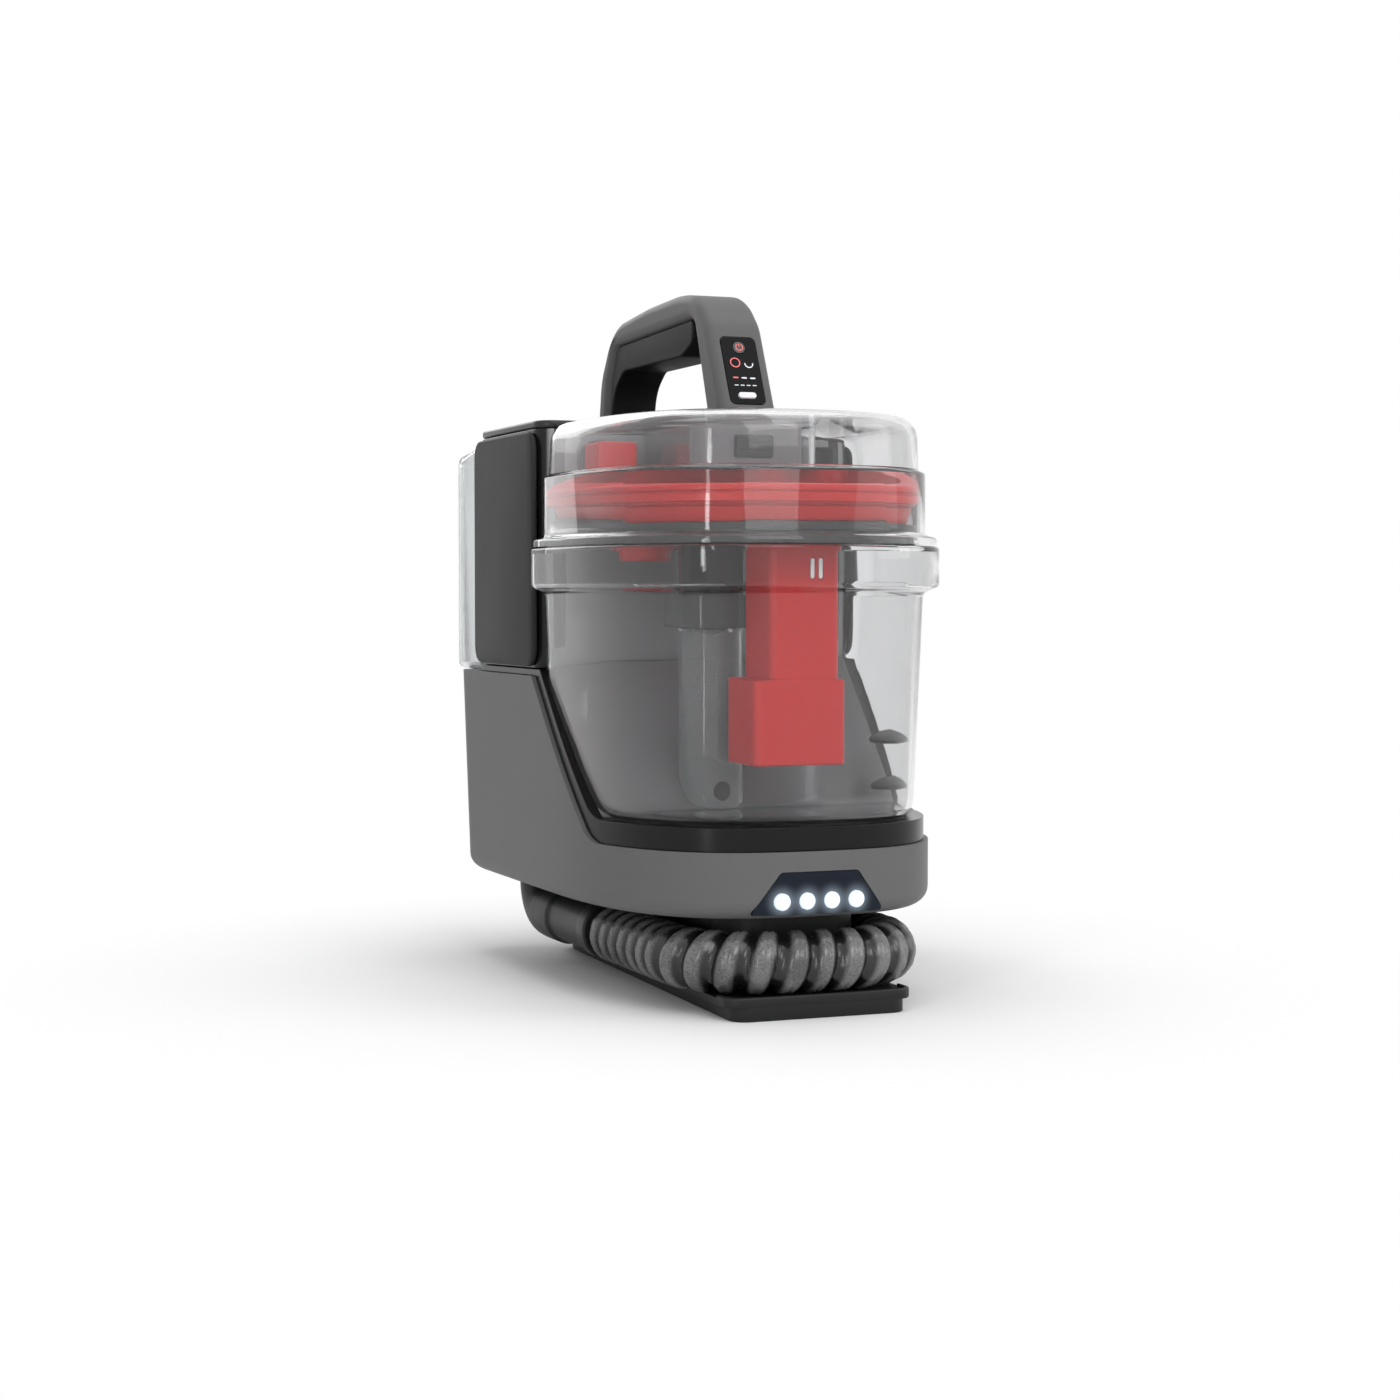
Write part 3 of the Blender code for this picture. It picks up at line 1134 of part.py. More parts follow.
def clean_profile(inset=0.0):
    low = SHELF_TOP + GAP + inset
    corners = [(CLEAN_FRONT_Y + inset, low), (CLEAN_REAR_Y - inset, low), (CLEAN_REAR_Y - inset, CLEAN_TOP_REAR - inset),
               (CLEAN_REAR_Y - 0.0050 - inset * 0.6, CLEAN_TOP_REAR + 0.0035 - inset), (CLEAN_FRONT_Y + inset, CLEAN_TOP_FRONT - inset)]
    return corners


def rounded_slab(profile, half, edge, segments=2, name="tool", look=None):
    slab = prism(profile, -half, half, "X")
    build = bmesh.new()
    build.from_mesh(slab.data)
    bpy.data.objects.remove(slab, do_unlink=True)
    rim = [edge_ for edge_ in build.edges if abs(edge_.verts[0].co.x - edge_.verts[1].co.x) < 1e-6]
    long_edges = [edge_ for edge_ in build.edges if abs(edge_.verts[0].co.x - edge_.verts[1].co.x) > 1e-6]
    bmesh.ops.bevel(build, geom=rim + long_edges, offset=edge, segments=segments, affect="EDGES", profile=0.5)
    return finish(build, name, look)


def build_clean_tank():
    tank = rounded_slab(clean_profile(), CLEAN_HALF, 0.0028, 2, "clean_tank", CLEAR)
    join(tank, rod((CAP_X, CAP_Y, CLEAN_TOP_REAR - 0.001), (CAP_X, CAP_Y, NECK_TOP), NECK_RADIUS, 24))
    for x in (-1, 1):
        lug_x = CAP_X + x * 0.0065
        low = (lug_x - 0.0015, CAP_Y + CAP_HINGE_OFFSET - 0.0030, CLEAN_TOP_REAR - 0.003)
        high = (lug_x + 0.0015, CAP_Y + CAP_HINGE_OFFSET + 0.0020, NECK_TOP + 0.0032)
        join(tank, box(low, high))
    cut(tank, rounded_slab(clean_profile(CLEAR_WALL), CLEAN_HALF - CLEAR_WALL, 0.0018, 1))
    cut(tank, rod((CAP_X, CAP_Y, CLEAN_TOP_REAR - 0.01), (CAP_X, CAP_Y, NECK_TOP + 0.01), NECK_BORE, 24))
    hinge = (CAP_Y + CAP_HINGE_OFFSET, cap_hinge_z())
    cut(tank, rod((CAP_X - 0.02, *hinge), (CAP_X + 0.02, *hinge), CAP_PIN_RADIUS + GAP, 12))
    cut(tank, rod((VALVE_X, CLEAN_FRONT_Y - 0.01, VALVE_Z), (VALVE_X, CLEAN_FRONT_Y + 0.01, VALVE_Z), 0.0036, 16))
    return tank


def cap_hinge_z():
    return NECK_TOP + 0.0012


def build_fill_cap():
    # flip cap: disc with a plug, a hinge tongue between the neck's lugs and its pin
    low = NECK_TOP + GAP
    profile = [(0.0, low - 0.0030), (NECK_BORE - 0.0010, low - 0.0030), (NECK_BORE - 0.0008, low),
               (CAP_RADIUS, low), (CAP_RADIUS, low + CAP_THICKNESS - 0.001), (CAP_RADIUS - 0.001, low + CAP_THICKNESS),
               (0.0, low + CAP_THICKNESS)]
    cap = ring_profile((CAP_X, CAP_Y, 0), profile, 20, "fill_cap", GREY)
    hinge_y = CAP_Y + CAP_HINGE_OFFSET
    tongue = box((CAP_X - 0.0045, CAP_Y + 0.008, low + 0.0004), (CAP_X + 0.0045, hinge_y + 0.0018, low + 0.0030))
    join(cap, tongue)
    join(cap, rod((CAP_X - 0.0078, hinge_y, cap_hinge_z()), (CAP_X + 0.0078, hinge_y, cap_hinge_z()), CAP_PIN_RADIUS, 12))
    set_origin(cap, (CAP_X, hinge_y, cap_hinge_z()))
    return cap


def build_tank_valve():
    # spring valve in the tank's front wall; its nose plugs into the tower
    nose = CLEAN_FRONT_Y - VALVE_REACH
    profile = [(0.0015, nose), (VALVE_RADIUS, nose), (VALVE_RADIUS, CLEAN_FRONT_Y - GAP), (0.0033, CLEAN_FRONT_Y - GAP),
               (0.0033, CLEAN_FRONT_Y + CLEAR_WALL + 0.004), (0.0015, CLEAN_FRONT_Y + CLEAR_WALL + 0.004)]
    return ring_profile((VALVE_X, 0, VALVE_Z), profile, 16, "tank_valve", DARK, "Y")


# ---------------------------------------------------------------- suction, pump and board

def build_suction_motor():
    inner = SHAFT_RADIUS + GAP
    radius = MOTOR_RADIUS
    profile = [(inner, MOTOR_BOTTOM), (radius * 0.55, MOTOR_BOTTOM), (radius * 0.6, MOTOR_BOTTOM + 0.006),
               (radius, MOTOR_BOTTOM + 0.010), (radius, MOTOR_TOP - 0.008), (radius * 0.75, MOTOR_TOP - 0.003),
               (radius * 0.3, MOTOR_TOP), (inner, MOTOR_TOP)]
    motor = ring_profile((MOTOR_X, MOTOR_Y, 0), profile, 18, "suction_motor", STEEL)
    join(motor, box((MOTOR_X + radius * 0.2, MOTOR_Y - 0.005, MOTOR_BOTTOM + 0.001),
                    (MOTOR_X + radius * 0.6, MOTOR_Y + 0.005, MOTOR_BOTTOM + 0.008)))
    return motor


def build_motor_mount():
    # rubber foot ring and stand that carry the motor on the cradle's floor
    low = DECK_TOP + GAP
    high = MOTOR_BOTTOM - GAP
    ring = MOTOR_RADIUS * 0.55
    profile = [(ring * 0.5, low), (ring * 1.5, low), (ring * 1.5, low + 0.002), (ring * 0.95, low + 0.004),
               (ring * 0.95, high), (ring * 0.5, high)]
    return ring_profile((MOTOR_X, MOTOR_Y, 0), profile, 16, "motor_mount", RUBBER)


def build_motor_shaft():
    low = MOTOR_BOTTOM + 0.004
    high = FAN_TOP + 0.003
    profile = [(0.0, low), (SHAFT_RADIUS, low), (SHAFT_RADIUS, high), (0.0, high)]
    return ring_profile((MOTOR_X, MOTOR_Y, 0), profile, 16, "motor_shaft", STEEL)


def build_fan():
    # back plate, hub and swept blades
    bore = SHAFT_RADIUS + 0.0002
    profile = [(bore, FAN_BOTTOM), (FAN_RADIUS, FAN_BOTTOM), (FAN_RADIUS, FAN_BOTTOM + 0.0014), (0.0085, FAN_BOTTOM + 0.0014),
               (0.0060, FAN_TOP - 0.002), (bore, FAN_TOP - 0.002)]
    fan = ring_profile((MOTOR_X, MOTOR_Y, 0), profile, 20, "fan", WHITE)
    for k in range(FAN_BLADES):
        start = 2 * math.pi * k / FAN_BLADES
        front = []
        back = []
        for s in range(4):
            share = s / 3
            radius = 0.0115 + (FAN_RADIUS - 0.0125) * share
            angle = start + 0.85 * share
            front.append((MOTOR_X + radius * math.cos(angle), MOTOR_Y + radius * math.sin(angle)))
            thick = 0.0013 / radius
            back.append((MOTOR_X + radius * math.cos(angle + thick), MOTOR_Y + radius * math.sin(angle + thick)))
        join(fan, prism(front + list(reversed(back)), FAN_BOTTOM + 0.0008, FAN_TOP - 0.003))
    set_origin(fan, (MOTOR_X, MOTOR_Y, FAN_BOTTOM))
    return fan


def build_fan_housing():
    # drum round the fan with an eye on top and outlet slots in its side; it stands on the motor
    low = MOTOR_TOP + GAP
    high = FAN_TOP + 0.0050
    wall = 0.0020
    outer = FAN_HOUSING_RADIUS
    eye = FAN_EYE_RADIUS
    profile = [(0.0090, low), (outer, low), (outer, high), (eye, high), (eye, high - wall), (outer - wall, high - wall),
               (outer - wall, low + wall), (0.0090, low + wall)]
    housing = ring_profile((MOTOR_X, MOTOR_Y, 0), profile, 18, "fan_housing", DARK)
    for k in range(3):
        angle = math.radians(200 + 70 * k)
        way = Vector((math.cos(angle), math.sin(angle), 0))
        side = Vector((-way.y, way.x, 0)) * 0.008
        centre = Vector((MOTOR_X, MOTOR_Y, 0))
        corners = [centre + way * 0.034 + side, centre + way * 0.06 + side, centre + way * 0.06 - side,
                   centre + way * 0.034 - side]
        cut(housing, prism([(c.x, c.y) for c in corners], low + wall + 0.003, high - wall - 0.003))
    return housing


def pipe_along(corners, radius_bend, name, look, outer, inner, spacing=0.009):
    points, length = filleted_path(corners, [radius_bend] * (len(corners) - 2), spacing)
    pipe = curve_tube(points, outer, name, look)
    ends = [points[0] + (points[0] - points[1]) * 0.5] + points[1:-1] + [points[-1] + (points[-1] - points[-2]) * 0.5]
    cut(pipe, curve_tube(ends, inner))
    return pipe


def build_suction_duct():
    # from the right port in the tower to the fan's eye
    front = TOWER_FRONT_Y + GAP
    turn = 0.0130
    corners = [(PORT_X, front, PORT_Z), (PORT_X, MOTOR_Y, PORT_Z), (MOTOR_X, MOTOR_Y, PORT_Z),
               (MOTOR_X, MOTOR_Y, FAN_TOP + 0.0050 + GAP)]
    return pipe_along(corners, turn, "suction_duct", DARK, DUCT_PIPE_RADIUS, DUCT_PIPE_BORE)


def build_riser_pipe():
    # from the port block in the base up through housing and tower to the left port
    front = TOWER_FRONT_Y + GAP
    low = BODY_BOTTOM + GAP + 0.0035 + GAP
    corners = [(RISER_X, RISER_Y, low), (RISER_X, RISER_Y, PORT_Z), (-PORT_X, front, PORT_Z)]
    return pipe_along(corners, 0.020, "riser_pipe", DARK, DUCT_PIPE_RADIUS, DUCT_PIPE_BORE, 0.010)


def build_port_seal(name, side):
    # soft ring that closes the slit between tower port and lid port
    x = side * PORT_X
    front = TANK_REAR_Y + 0.0005
    rear = TOWER_FRONT_Y - GAP
    profile = [(PORT_RADIUS, front), (0.0125, front), (0.0135, rear), (PORT_RADIUS, rear)]
    return ring_profile((x, 0, PORT_Z), profile, 16, name, RUBBER, "Y")


FLOOR_Z = BODY_BOTTOM + GAP + 0.0035 + GAP


def build_water_pump():
    # pump block with its motor end and two hose barbs
    low = (0.020, 0.060, FLOOR_Z)
    high = (0.056, 0.098, FLOOR_Z + 0.034)
    pump = box(low, high, "water_pump", DARK, 0.002, 1)
    middle = (low[2] + high[2]) / 2
    join(pump, rod((0.038, 0.062, middle), (0.038, 0.030, middle), 0.0125, 20))
    join(pump, rod((VALVE_X, 0.090, high[2] - 0.002), (VALVE_X, 0.090, high[2] + 0.008), 0.0030, 12))
    return pump


def valve_barb(low, high, radius):
    y = TOWER_REAR_Y - WALL - GAP - 0.008
    return rod((VALVE_X, y, low), (VALVE_X, y, high), radius, 12)


def build_valve_socket():
    # cup behind the tower's rear wall that takes the tank valve, with a barb below
    rear = TOWER_REAR_Y - WALL - GAP
    outer = 0.0085
    inner = VALVE_RADIUS + 0.0010
    profile = [(0.0, rear - 0.012), (outer, rear - 0.012), (outer, rear), (inner, rear), (inner, rear - 0.006),
               (0.0, rear - 0.006)]
    socket = ring_profile((VALVE_X, 0, VALVE_Z), profile, 20, "valve_socket", DARK, "Y")
    return join(socket, valve_barb(DECK_TOP - 0.0060, VALVE_Z - 0.007, VALVE_BARB_RADIUS))


def build_pump_tube():
    rear = TOWER_REAR_Y - WALL - GAP - 0.008
    start = (VALVE_X, rear, DECK_TOP - 0.0060 - GAP)
    end = (VALVE_X, 0.090, FLOOR_Z + 0.034 + 0.008 + GAP)
    corners = [start, (VALVE_X, rear, 0.130), (VALVE_X, 0.090, 0.118), end]
    return pipe_along(corners, 0.010, "pump_tube", CLEAR, 0.0030, 0.0018)


def build_control_board():
    # board with a transformer, two capacitors and a connector
    x0, x1, y0, y1 = -0.040, 0.010, 0.010, 0.080
    board = box((x0, y0, FLOOR_Z + 0.006), (x1, y1, FLOOR_Z + 0.0076), "control_board", BOARD)
    top = FLOOR_Z + 0.0070
    join(board, box((-0.034, 0.018, top), (-0.012, 0.040, top + 0.018)))
    join(board, box((-0.006, 0.016, top), (0.006, 0.030, top + 0.010)))
    join(board, rod((-0.026, 0.056, top), (-0.026, 0.056, top + 0.022), 0.0065, 16))
    join(board, rod((-0.008, 0.056, top), (-0.008, 0.056, top + 0.016), 0.0050, 16))
    for x in (x0 + 0.004, x1 - 0.004):
        for y in (y0 + 0.004, y1 - 0.004):
            join(board, rod((x, y, FLOOR_Z), (x, y, FLOOR_Z + 0.0068), 0.0025, 10))
    return board


# ---------------------------------------------------------------- hand tool and its dock

def tool_section(height, centre_x, half_x, half_y, power=2.4, steps=20):
    loop = []
    for k in range(steps):
        angle = 2 * math.pi * k / steps
        c, s = math.cos(angle), math.sin(angle)
        x = centre_x + half_x * math.copysign(abs(c) ** (2 / power), c)
        y = TOOL_Y + half_y * math.copysign(abs(s) ** (2 / power), s)
        loop.append((x, y, height))
    return loop


TOOL_LIP_Z = 0.2760
TOOL_HEAD_X = TOOL_X + 0.0090


def tool_shape(grow=0.0, name="tool", look=None):
    # round grip that flares into a flat nozzle head
    x = TOOL_X
    sections = [(TOOL_BOTTOM, x, 0.0142, 0.0142, 2.0), (0.1500, x, 0.0138, 0.0138, 2.0), (0.1800, x, 0.0140, 0.0150, 2.2),
                (0.2080, x, 0.0138, 0.0170, 2.4), (0.2280, x + 0.002, 0.0135, 0.0270, 2.8),
                (0.2480, x + 0.0055, 0.0120, 0.0400, 3.4), (0.2640, TOOL_HEAD_X, 0.0100, 0.0450, 4.0),
                (TOOL_LIP_Z, TOOL_HEAD_X + 0.0015, 0.0085, 0.0460, 4.0)]
    loops = [tool_section(z, cx, hx + grow, hy + grow, power) for z, cx, hx, hy, power in sections]
    return loft(loops, name, look)


def build_tool_body():
    x = TOOL_X
    body = tool_shape(0.0, "tool_body", GREY)
    hollow = [(TOOL_BOTTOM - 0.005, x, TOOL_BORE, TOOL_BORE, 2.0), (0.2080, x, TOOL_BORE, TOOL_BORE, 2.0),
              (0.2280, x + 0.002, 0.0090, 0.0200, 2.6), (0.2480, x + 0.0055, 0.0080, 0.0350, 3.4),
              (0.2640, TOOL_HEAD_X, 0.0060, 0.0410, 4.0), (TOOL_LIP_Z + 0.005, TOOL_HEAD_X + 0.002, 0.0050, 0.0420, 4.0)]
    cut(body, loft([tool_section(*section) for section in hollow]))
    recess_half = TRIGGER_HALF + 0.0008
    cut(body, box((x + 0.0115, TOOL_Y - recess_half, 0.1620), (x + 0.03, TOOL_Y + recess_half, TRIGGER_PIVOT_Z - 0.0040)))
    return body


TRIGGER_PIVOT = (TOOL_X + 0.0180, TOOL_Y, TRIGGER_PIVOT_Z)


def build_tool_trigger():
    face = TOOL_X + 0.0146
    corners = [(face + 0.0020, 0.1665), (face + 0.0085, 0.1690), (face + 0.0092, 0.1800), (face + 0.0062, 0.1950),
               (face + 0.0062, TRIGGER_PIVOT_Z + 0.0030), (face + 0.0012, TRIGGER_PIVOT_Z + 0.0030),
               (face + 0.0040, 0.1900)]
    outline = rounded(corners, [0.0015, 0.003, 0.006, 0.004, 0.0015, 0.0015, 0.004], 3)
    trigger = prism(outline, TOOL_Y - TRIGGER_HALF, TOOL_Y + TRIGGER_HALF, "Y", "tool_trigger", RED)
    cut(trigger, rod((TRIGGER_PIVOT[0], TOOL_Y - 0.02, TRIGGER_PIVOT_Z), (TRIGGER_PIVOT[0], TOOL_Y + 0.02, TRIGGER_PIVOT_Z),
                     0.0012 + GAP, 12))
    set_origin(trigger, TRIGGER_PIVOT)
    return trigger


def build_trigger_mount():
    # pair of ears on the tool's face with the trigger's pin across them
    face = TOOL_X + 0.0110
    ears = None
    for side in (-1, 1):
        inner = TRIGGER_HALF + GAP
        low = (face, TOOL_Y + (inner if side > 0 else -inner - 0.0016), TRIGGER_PIVOT_Z - 0.0030)
        high = (face + 0.0070, TOOL_Y + (inner + 0.0016 if side > 0 else -inner), TRIGGER_PIVOT_Z + 0.0030)
        ear = box(low, high, "trigger_mount", DARK) if ears is None else box(low, high)
        if ears is None:
            ears = ear
        else:
            join(ears, ear)
    join(ears, rod((TRIGGER_PIVOT[0], TOOL_Y - TRIGGER_HALF - 0.0012, TRIGGER_PIVOT_Z),
                   (TRIGGER_PIVOT[0], TOOL_Y + TRIGGER_HALF + 0.0012, TRIGGER_PIVOT_Z), 0.0012, 12))
    return cut(ears, tool_shape(GAP))


def build_tool_window():
    # clear cover strip over the nozzle's outer face
    x = TOOL_HEAD_X
    outline = [(x + 0.0104, 0.2640), (x + 0.0104 + 0.0016, 0.2640), (x + 0.0102 + 0.0016, TOOL_LIP_Z + 0.001),
               (x + 0.0102, TOOL_LIP_Z + 0.001)]
    return prism(outline, TOOL_Y - 0.036, TOOL_Y + 0.036, "Y", "tool_window", CLEAR)


def build_tool_brush():
    # backing bar on the head's inner face with a double row of tufts
    inner_x = TOOL_HEAD_X - 0.0190
    outer_x = TOOL_HEAD_X - 0.0060
    half = 0.0400
    base, root, tip = 0.2560, 0.2640, 0.2770
    pitch = 2 * half / BRUSH_TUFTS
    comb = [(TOOL_Y - half, base), (TOOL_Y + half, base)]
    for k in range(BRUSH_TUFTS):
        y = TOOL_Y + half - pitch * k
        comb += [(y, root), (y - pitch * 0.14, tip), (y - pitch * 0.70, tip), (y - pitch * 0.84, root)]
    comb.append((TOOL_Y - half, root))
    brush = prism(comb, inner_x, outer_x, "X", "tool_brush", PANEL)
    cut(brush, box((inner_x + 0.0035, TOOL_Y - 0.06, root + 0.001), (inner_x + 0.0047, TOOL_Y + 0.06, tip + 0.01)))
    cut(brush, box((inner_x + 0.0080, TOOL_Y - 0.06, root), (outer_x + 0.01, TOOL_Y + 0.06, tip + 0.01)))
    cut(brush, tool_shape(GAP))
    return brush


BRUSH_TUFTS = 10


def build_tool_dock():
    # bracket on the right flank whose open clip holds the tool's grip
    back = BODY_HALF_WIDTH + GAP
    clip_inner = 0.0142
    clip_outer = 0.0172
    low, high = 0.1330, 0.1530
    opening = math.radians(50)
    outer = []
    inner = []
    steps = 16
    for k in range(steps + 1):
        angle = opening + (2 * math.pi - 2 * opening) * k / steps
        outer.append((TOOL_X + clip_outer * math.cos(angle), TOOL_Y + clip_outer * math.sin(angle)))
        inner.append((TOOL_X + clip_inner * math.cos(angle), TOOL_Y + clip_inner * math.sin(angle)))
    dock = prism(outer + list(reversed(inner)), low, high, "Z", "tool_dock", DARK)
    join(dock, box((back, TOOL_Y - 0.0200, low - 0.006), (back + 0.0034, TOOL_Y + 0.0200, high + 0.006)))
    join(dock, box((back + 0.0010, TOOL_Y - 0.0060, low + 0.001), (TOOL_X - clip_inner - 0.0008, TOOL_Y + 0.0060, high - 0.001)))
    return dock


# ---------------------------------------------------------------- assembly

build_base_tray()
build_floor_pad("front_floor_pad", False)
build_floor_pad("rear_floor_pad", True)
build_pedestal()
build_hose_cuff()
build_suction_hose()
build_tool_cuff()
build_lower_housing()
build_bottom_plate()
build_light_panel()
build_lamp_lens()
build_lamp_board()
build_cradle_trim()
build_appliance_inlet()
build_tower_shell()
build_side_panel(-1)
build_side_panel(1)
build_top_deck()
build_tank_latch()
build_handle_shell()
build_handle_grip()
build_display_panel()
build_key("mode_key", key_places()[0])
build_key("power_key", key_places()[1])
build_tank_bucket()
build_tank_lid()
build_tank_seal()
build_separator_ring()
build_separator_duct()
build_standpipe()
build_float_cage()
build_float_ball()
build_inlet_funnel()
build_elbow("inlet_elbow", -1, RED)
build_elbow("outlet_elbow", 1, DARK)
build_splash_fin("upper_splash_fin", 0.1330, -0.115, -0.070)
build_splash_fin("lower_splash_fin", 0.1100, -0.118, -0.080)
build_clean_tank()
build_fill_cap()
build_tank_valve()
build_suction_motor()
build_motor_mount()
build_motor_shaft()
build_fan()
build_fan_housing()
build_suction_duct()
build_riser_pipe()
build_port_seal("inlet_port_seal", -1)
build_port_seal("outlet_port_seal", 1)
build_water_pump()
build_valve_socket()
build_pump_tube()
build_control_board()
build_tool_body()
build_tool_trigger()
build_trigger_mount()
build_tool_window()
build_tool_brush()
build_tool_dock()
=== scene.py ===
import json
import math

import bmesh
import bpy
from mathutils import Matrix, Vector

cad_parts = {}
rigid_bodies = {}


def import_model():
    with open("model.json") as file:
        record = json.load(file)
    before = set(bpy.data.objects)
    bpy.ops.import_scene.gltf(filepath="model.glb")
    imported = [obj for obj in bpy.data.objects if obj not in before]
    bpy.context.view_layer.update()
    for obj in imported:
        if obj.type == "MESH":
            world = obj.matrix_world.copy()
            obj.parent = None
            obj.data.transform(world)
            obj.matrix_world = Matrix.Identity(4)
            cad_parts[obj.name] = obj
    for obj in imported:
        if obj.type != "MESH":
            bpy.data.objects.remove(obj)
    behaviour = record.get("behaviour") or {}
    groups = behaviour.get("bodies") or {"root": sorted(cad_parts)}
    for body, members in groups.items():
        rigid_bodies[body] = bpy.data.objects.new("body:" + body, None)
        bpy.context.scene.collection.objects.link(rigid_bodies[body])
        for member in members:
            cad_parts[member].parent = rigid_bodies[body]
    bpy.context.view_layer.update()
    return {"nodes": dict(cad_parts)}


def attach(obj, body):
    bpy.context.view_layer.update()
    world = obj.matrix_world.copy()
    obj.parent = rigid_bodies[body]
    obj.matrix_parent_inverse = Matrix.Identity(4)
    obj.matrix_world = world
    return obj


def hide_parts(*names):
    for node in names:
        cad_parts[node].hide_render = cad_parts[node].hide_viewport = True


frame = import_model()
nodes = frame["nodes"]
sceneObjects = bpy.context.scene.collection.objects
print("frame loaded:", len(nodes), "nodes")


# camera, at the photograph's angle
view = {"place": (-0.5086, -1.2864, 0.2065), "yaw": 0.377, "pitch": 0.0407, "widthPixels": 1400,
        "focalPixels": 2513}
camera = bpy.data.objects.new("camera", bpy.data.cameras.new("camera"))
camera.data.sensor_fit = "HORIZONTAL"
camera.data.angle = 2 * math.atan(view["widthPixels"] / 2 / view["focalPixels"])
camera.data.clip_start = 0.02
camera.location = view["place"]
camera.rotation_euler = (math.pi / 2 - view["pitch"], 0, -view["yaw"])
sceneObjects.link(camera)
bpy.context.scene.camera = camera
bpy.context.scene.view_settings.view_transform = "Standard"


# shader helpers

class Signal:
    # one socket; arithmetic on it adds Math nodes
    def __init__(self, paint, socket):
        self.paint = paint
        self.socket = socket

    def work(self, operation, first, second=0.0):
        return self.paint.node("ShaderNodeMath", {"operation": operation}, {0: first, 1: second})

    def __add__(self, other):
        return self.work("ADD", self, other)

    def __sub__(self, other):
        return self.work("SUBTRACT", self, other)

    def __rsub__(self, other):
        return self.work("SUBTRACT", other, self)

    def __mul__(self, other):
        return self.work("MULTIPLY", self, other)

    def __truediv__(self, other):
        return self.work("DIVIDE", self, other)

    def __pow__(self, other):
        return self.work("POWER", self, other)

    def __gt__(self, other):
        return self.work("GREATER_THAN", self, other)

    def __lt__(self, other):
        return self.work("LESS_THAN", self, other)

    __radd__ = __add__
    __rmul__ = __mul__


class Paint:
    # one node tree under construction
    def __init__(self, name, tree=None):
        self.material = None
        if tree is None:
            self.material = bpy.data.materials.new(name)
            self.material.use_nodes = True
            tree = self.material.node_tree
        self.tree = tree
        self.tree.nodes.clear()

    def node(self, kind, settings=None, inputs=None, out=0):
        made = self.tree.nodes.new(kind)
        for key, value in (settings or {}).items():
            setattr(made, key, value)
        for key, value in (inputs or {}).items():
            if isinstance(value, Signal):
                self.tree.links.new(value.socket, made.inputs[key])
            else:
                made.inputs[key].default_value = value
        return Signal(self, made.outputs[out]) if len(made.outputs) else None

    def place(self, scale=(1, 1, 1), turn=(0, 0, 0), shift=(0, 0, 0)):
        where = self.node("ShaderNodeTexCoord", out="Object")
        return self.node("ShaderNodeMapping", {},
                         {"Vector": where, "Scale": scale, "Rotation": turn, "Location": shift})

    def part(self, axis):
        where = self.node("ShaderNodeTexCoord", out="Object")
        return self.node("ShaderNodeSeparateXYZ", {}, {0: where}, axis)

    def noise(self, scale, detail=2.0, where=None, rough=0.5):
        return self.node("ShaderNodeTexNoise", {},
                         {"Vector": where or self.place(), "Scale": scale, "Detail": detail,
                          "Roughness": rough})

    def blendColour(self, factor, first, second):
        first = first if isinstance(first, Signal) else (*first, 1)
        second = second if isinstance(second, Signal) else (*second, 1)
        return self.node("ShaderNodeMix", {"data_type": "RGBA"}, {0: factor, 6: first, 7: second}, 2)

    def smooth(self, value, low, high):
        settings = {"interpolation_type": "SMOOTHSTEP"}
        return self.node("ShaderNodeMapRange", settings, {"Value": value, "From Min": low, "From Max": high})

    def bump(self, height, strength, distance):
        return self.node("ShaderNodeBump", {}, {"Height": height, "Strength": strength, "Distance": distance})

    def surface(self, **inputs):
        named = {key.replace("_", " "): value for key, value in inputs.items()}
        return self.node("ShaderNodeBsdfPrincipled", {}, named)

    def finish(self, shader):
        self.node("ShaderNodeOutputMaterial", {}, {"Surface": shader})
        return self.material


def shaded(colour, factor):
    return tuple(min(1.0, channel * factor) for channel in colour)


def moulded(name, colour, rough=0.4, metal=0.0, grain=0.2, mottle=0.06, coat=0.0, specular=0.5,
            grainScale=1400):
    # injection-moulded plastic: fine spark-eroded grain, slight flow marks, uneven gloss
    paint = Paint(name)
    cloud = paint.noise(26, 3)
    flow = paint.noise(9, 2, paint.place((1, 1, 0.35)))
    tone = paint.blendColour(cloud * 0.6 + flow * 0.4, shaded(colour, 1 - mottle), shaded(colour, 1 + mottle))
    height = paint.noise(grainScale, 2) + paint.noise(grainScale * 3.1, 1) * 0.4
    surface = paint.surface(Base_Color=tone, Roughness=cloud * 0.10 + (rough - 0.05), Metallic=metal,
                            Coat_Weight=coat, Coat_Roughness=0.12, Specular_IOR_Level=specular,
                            Normal=paint.bump(height, grain, 0.00006))
    return paint.finish(surface)


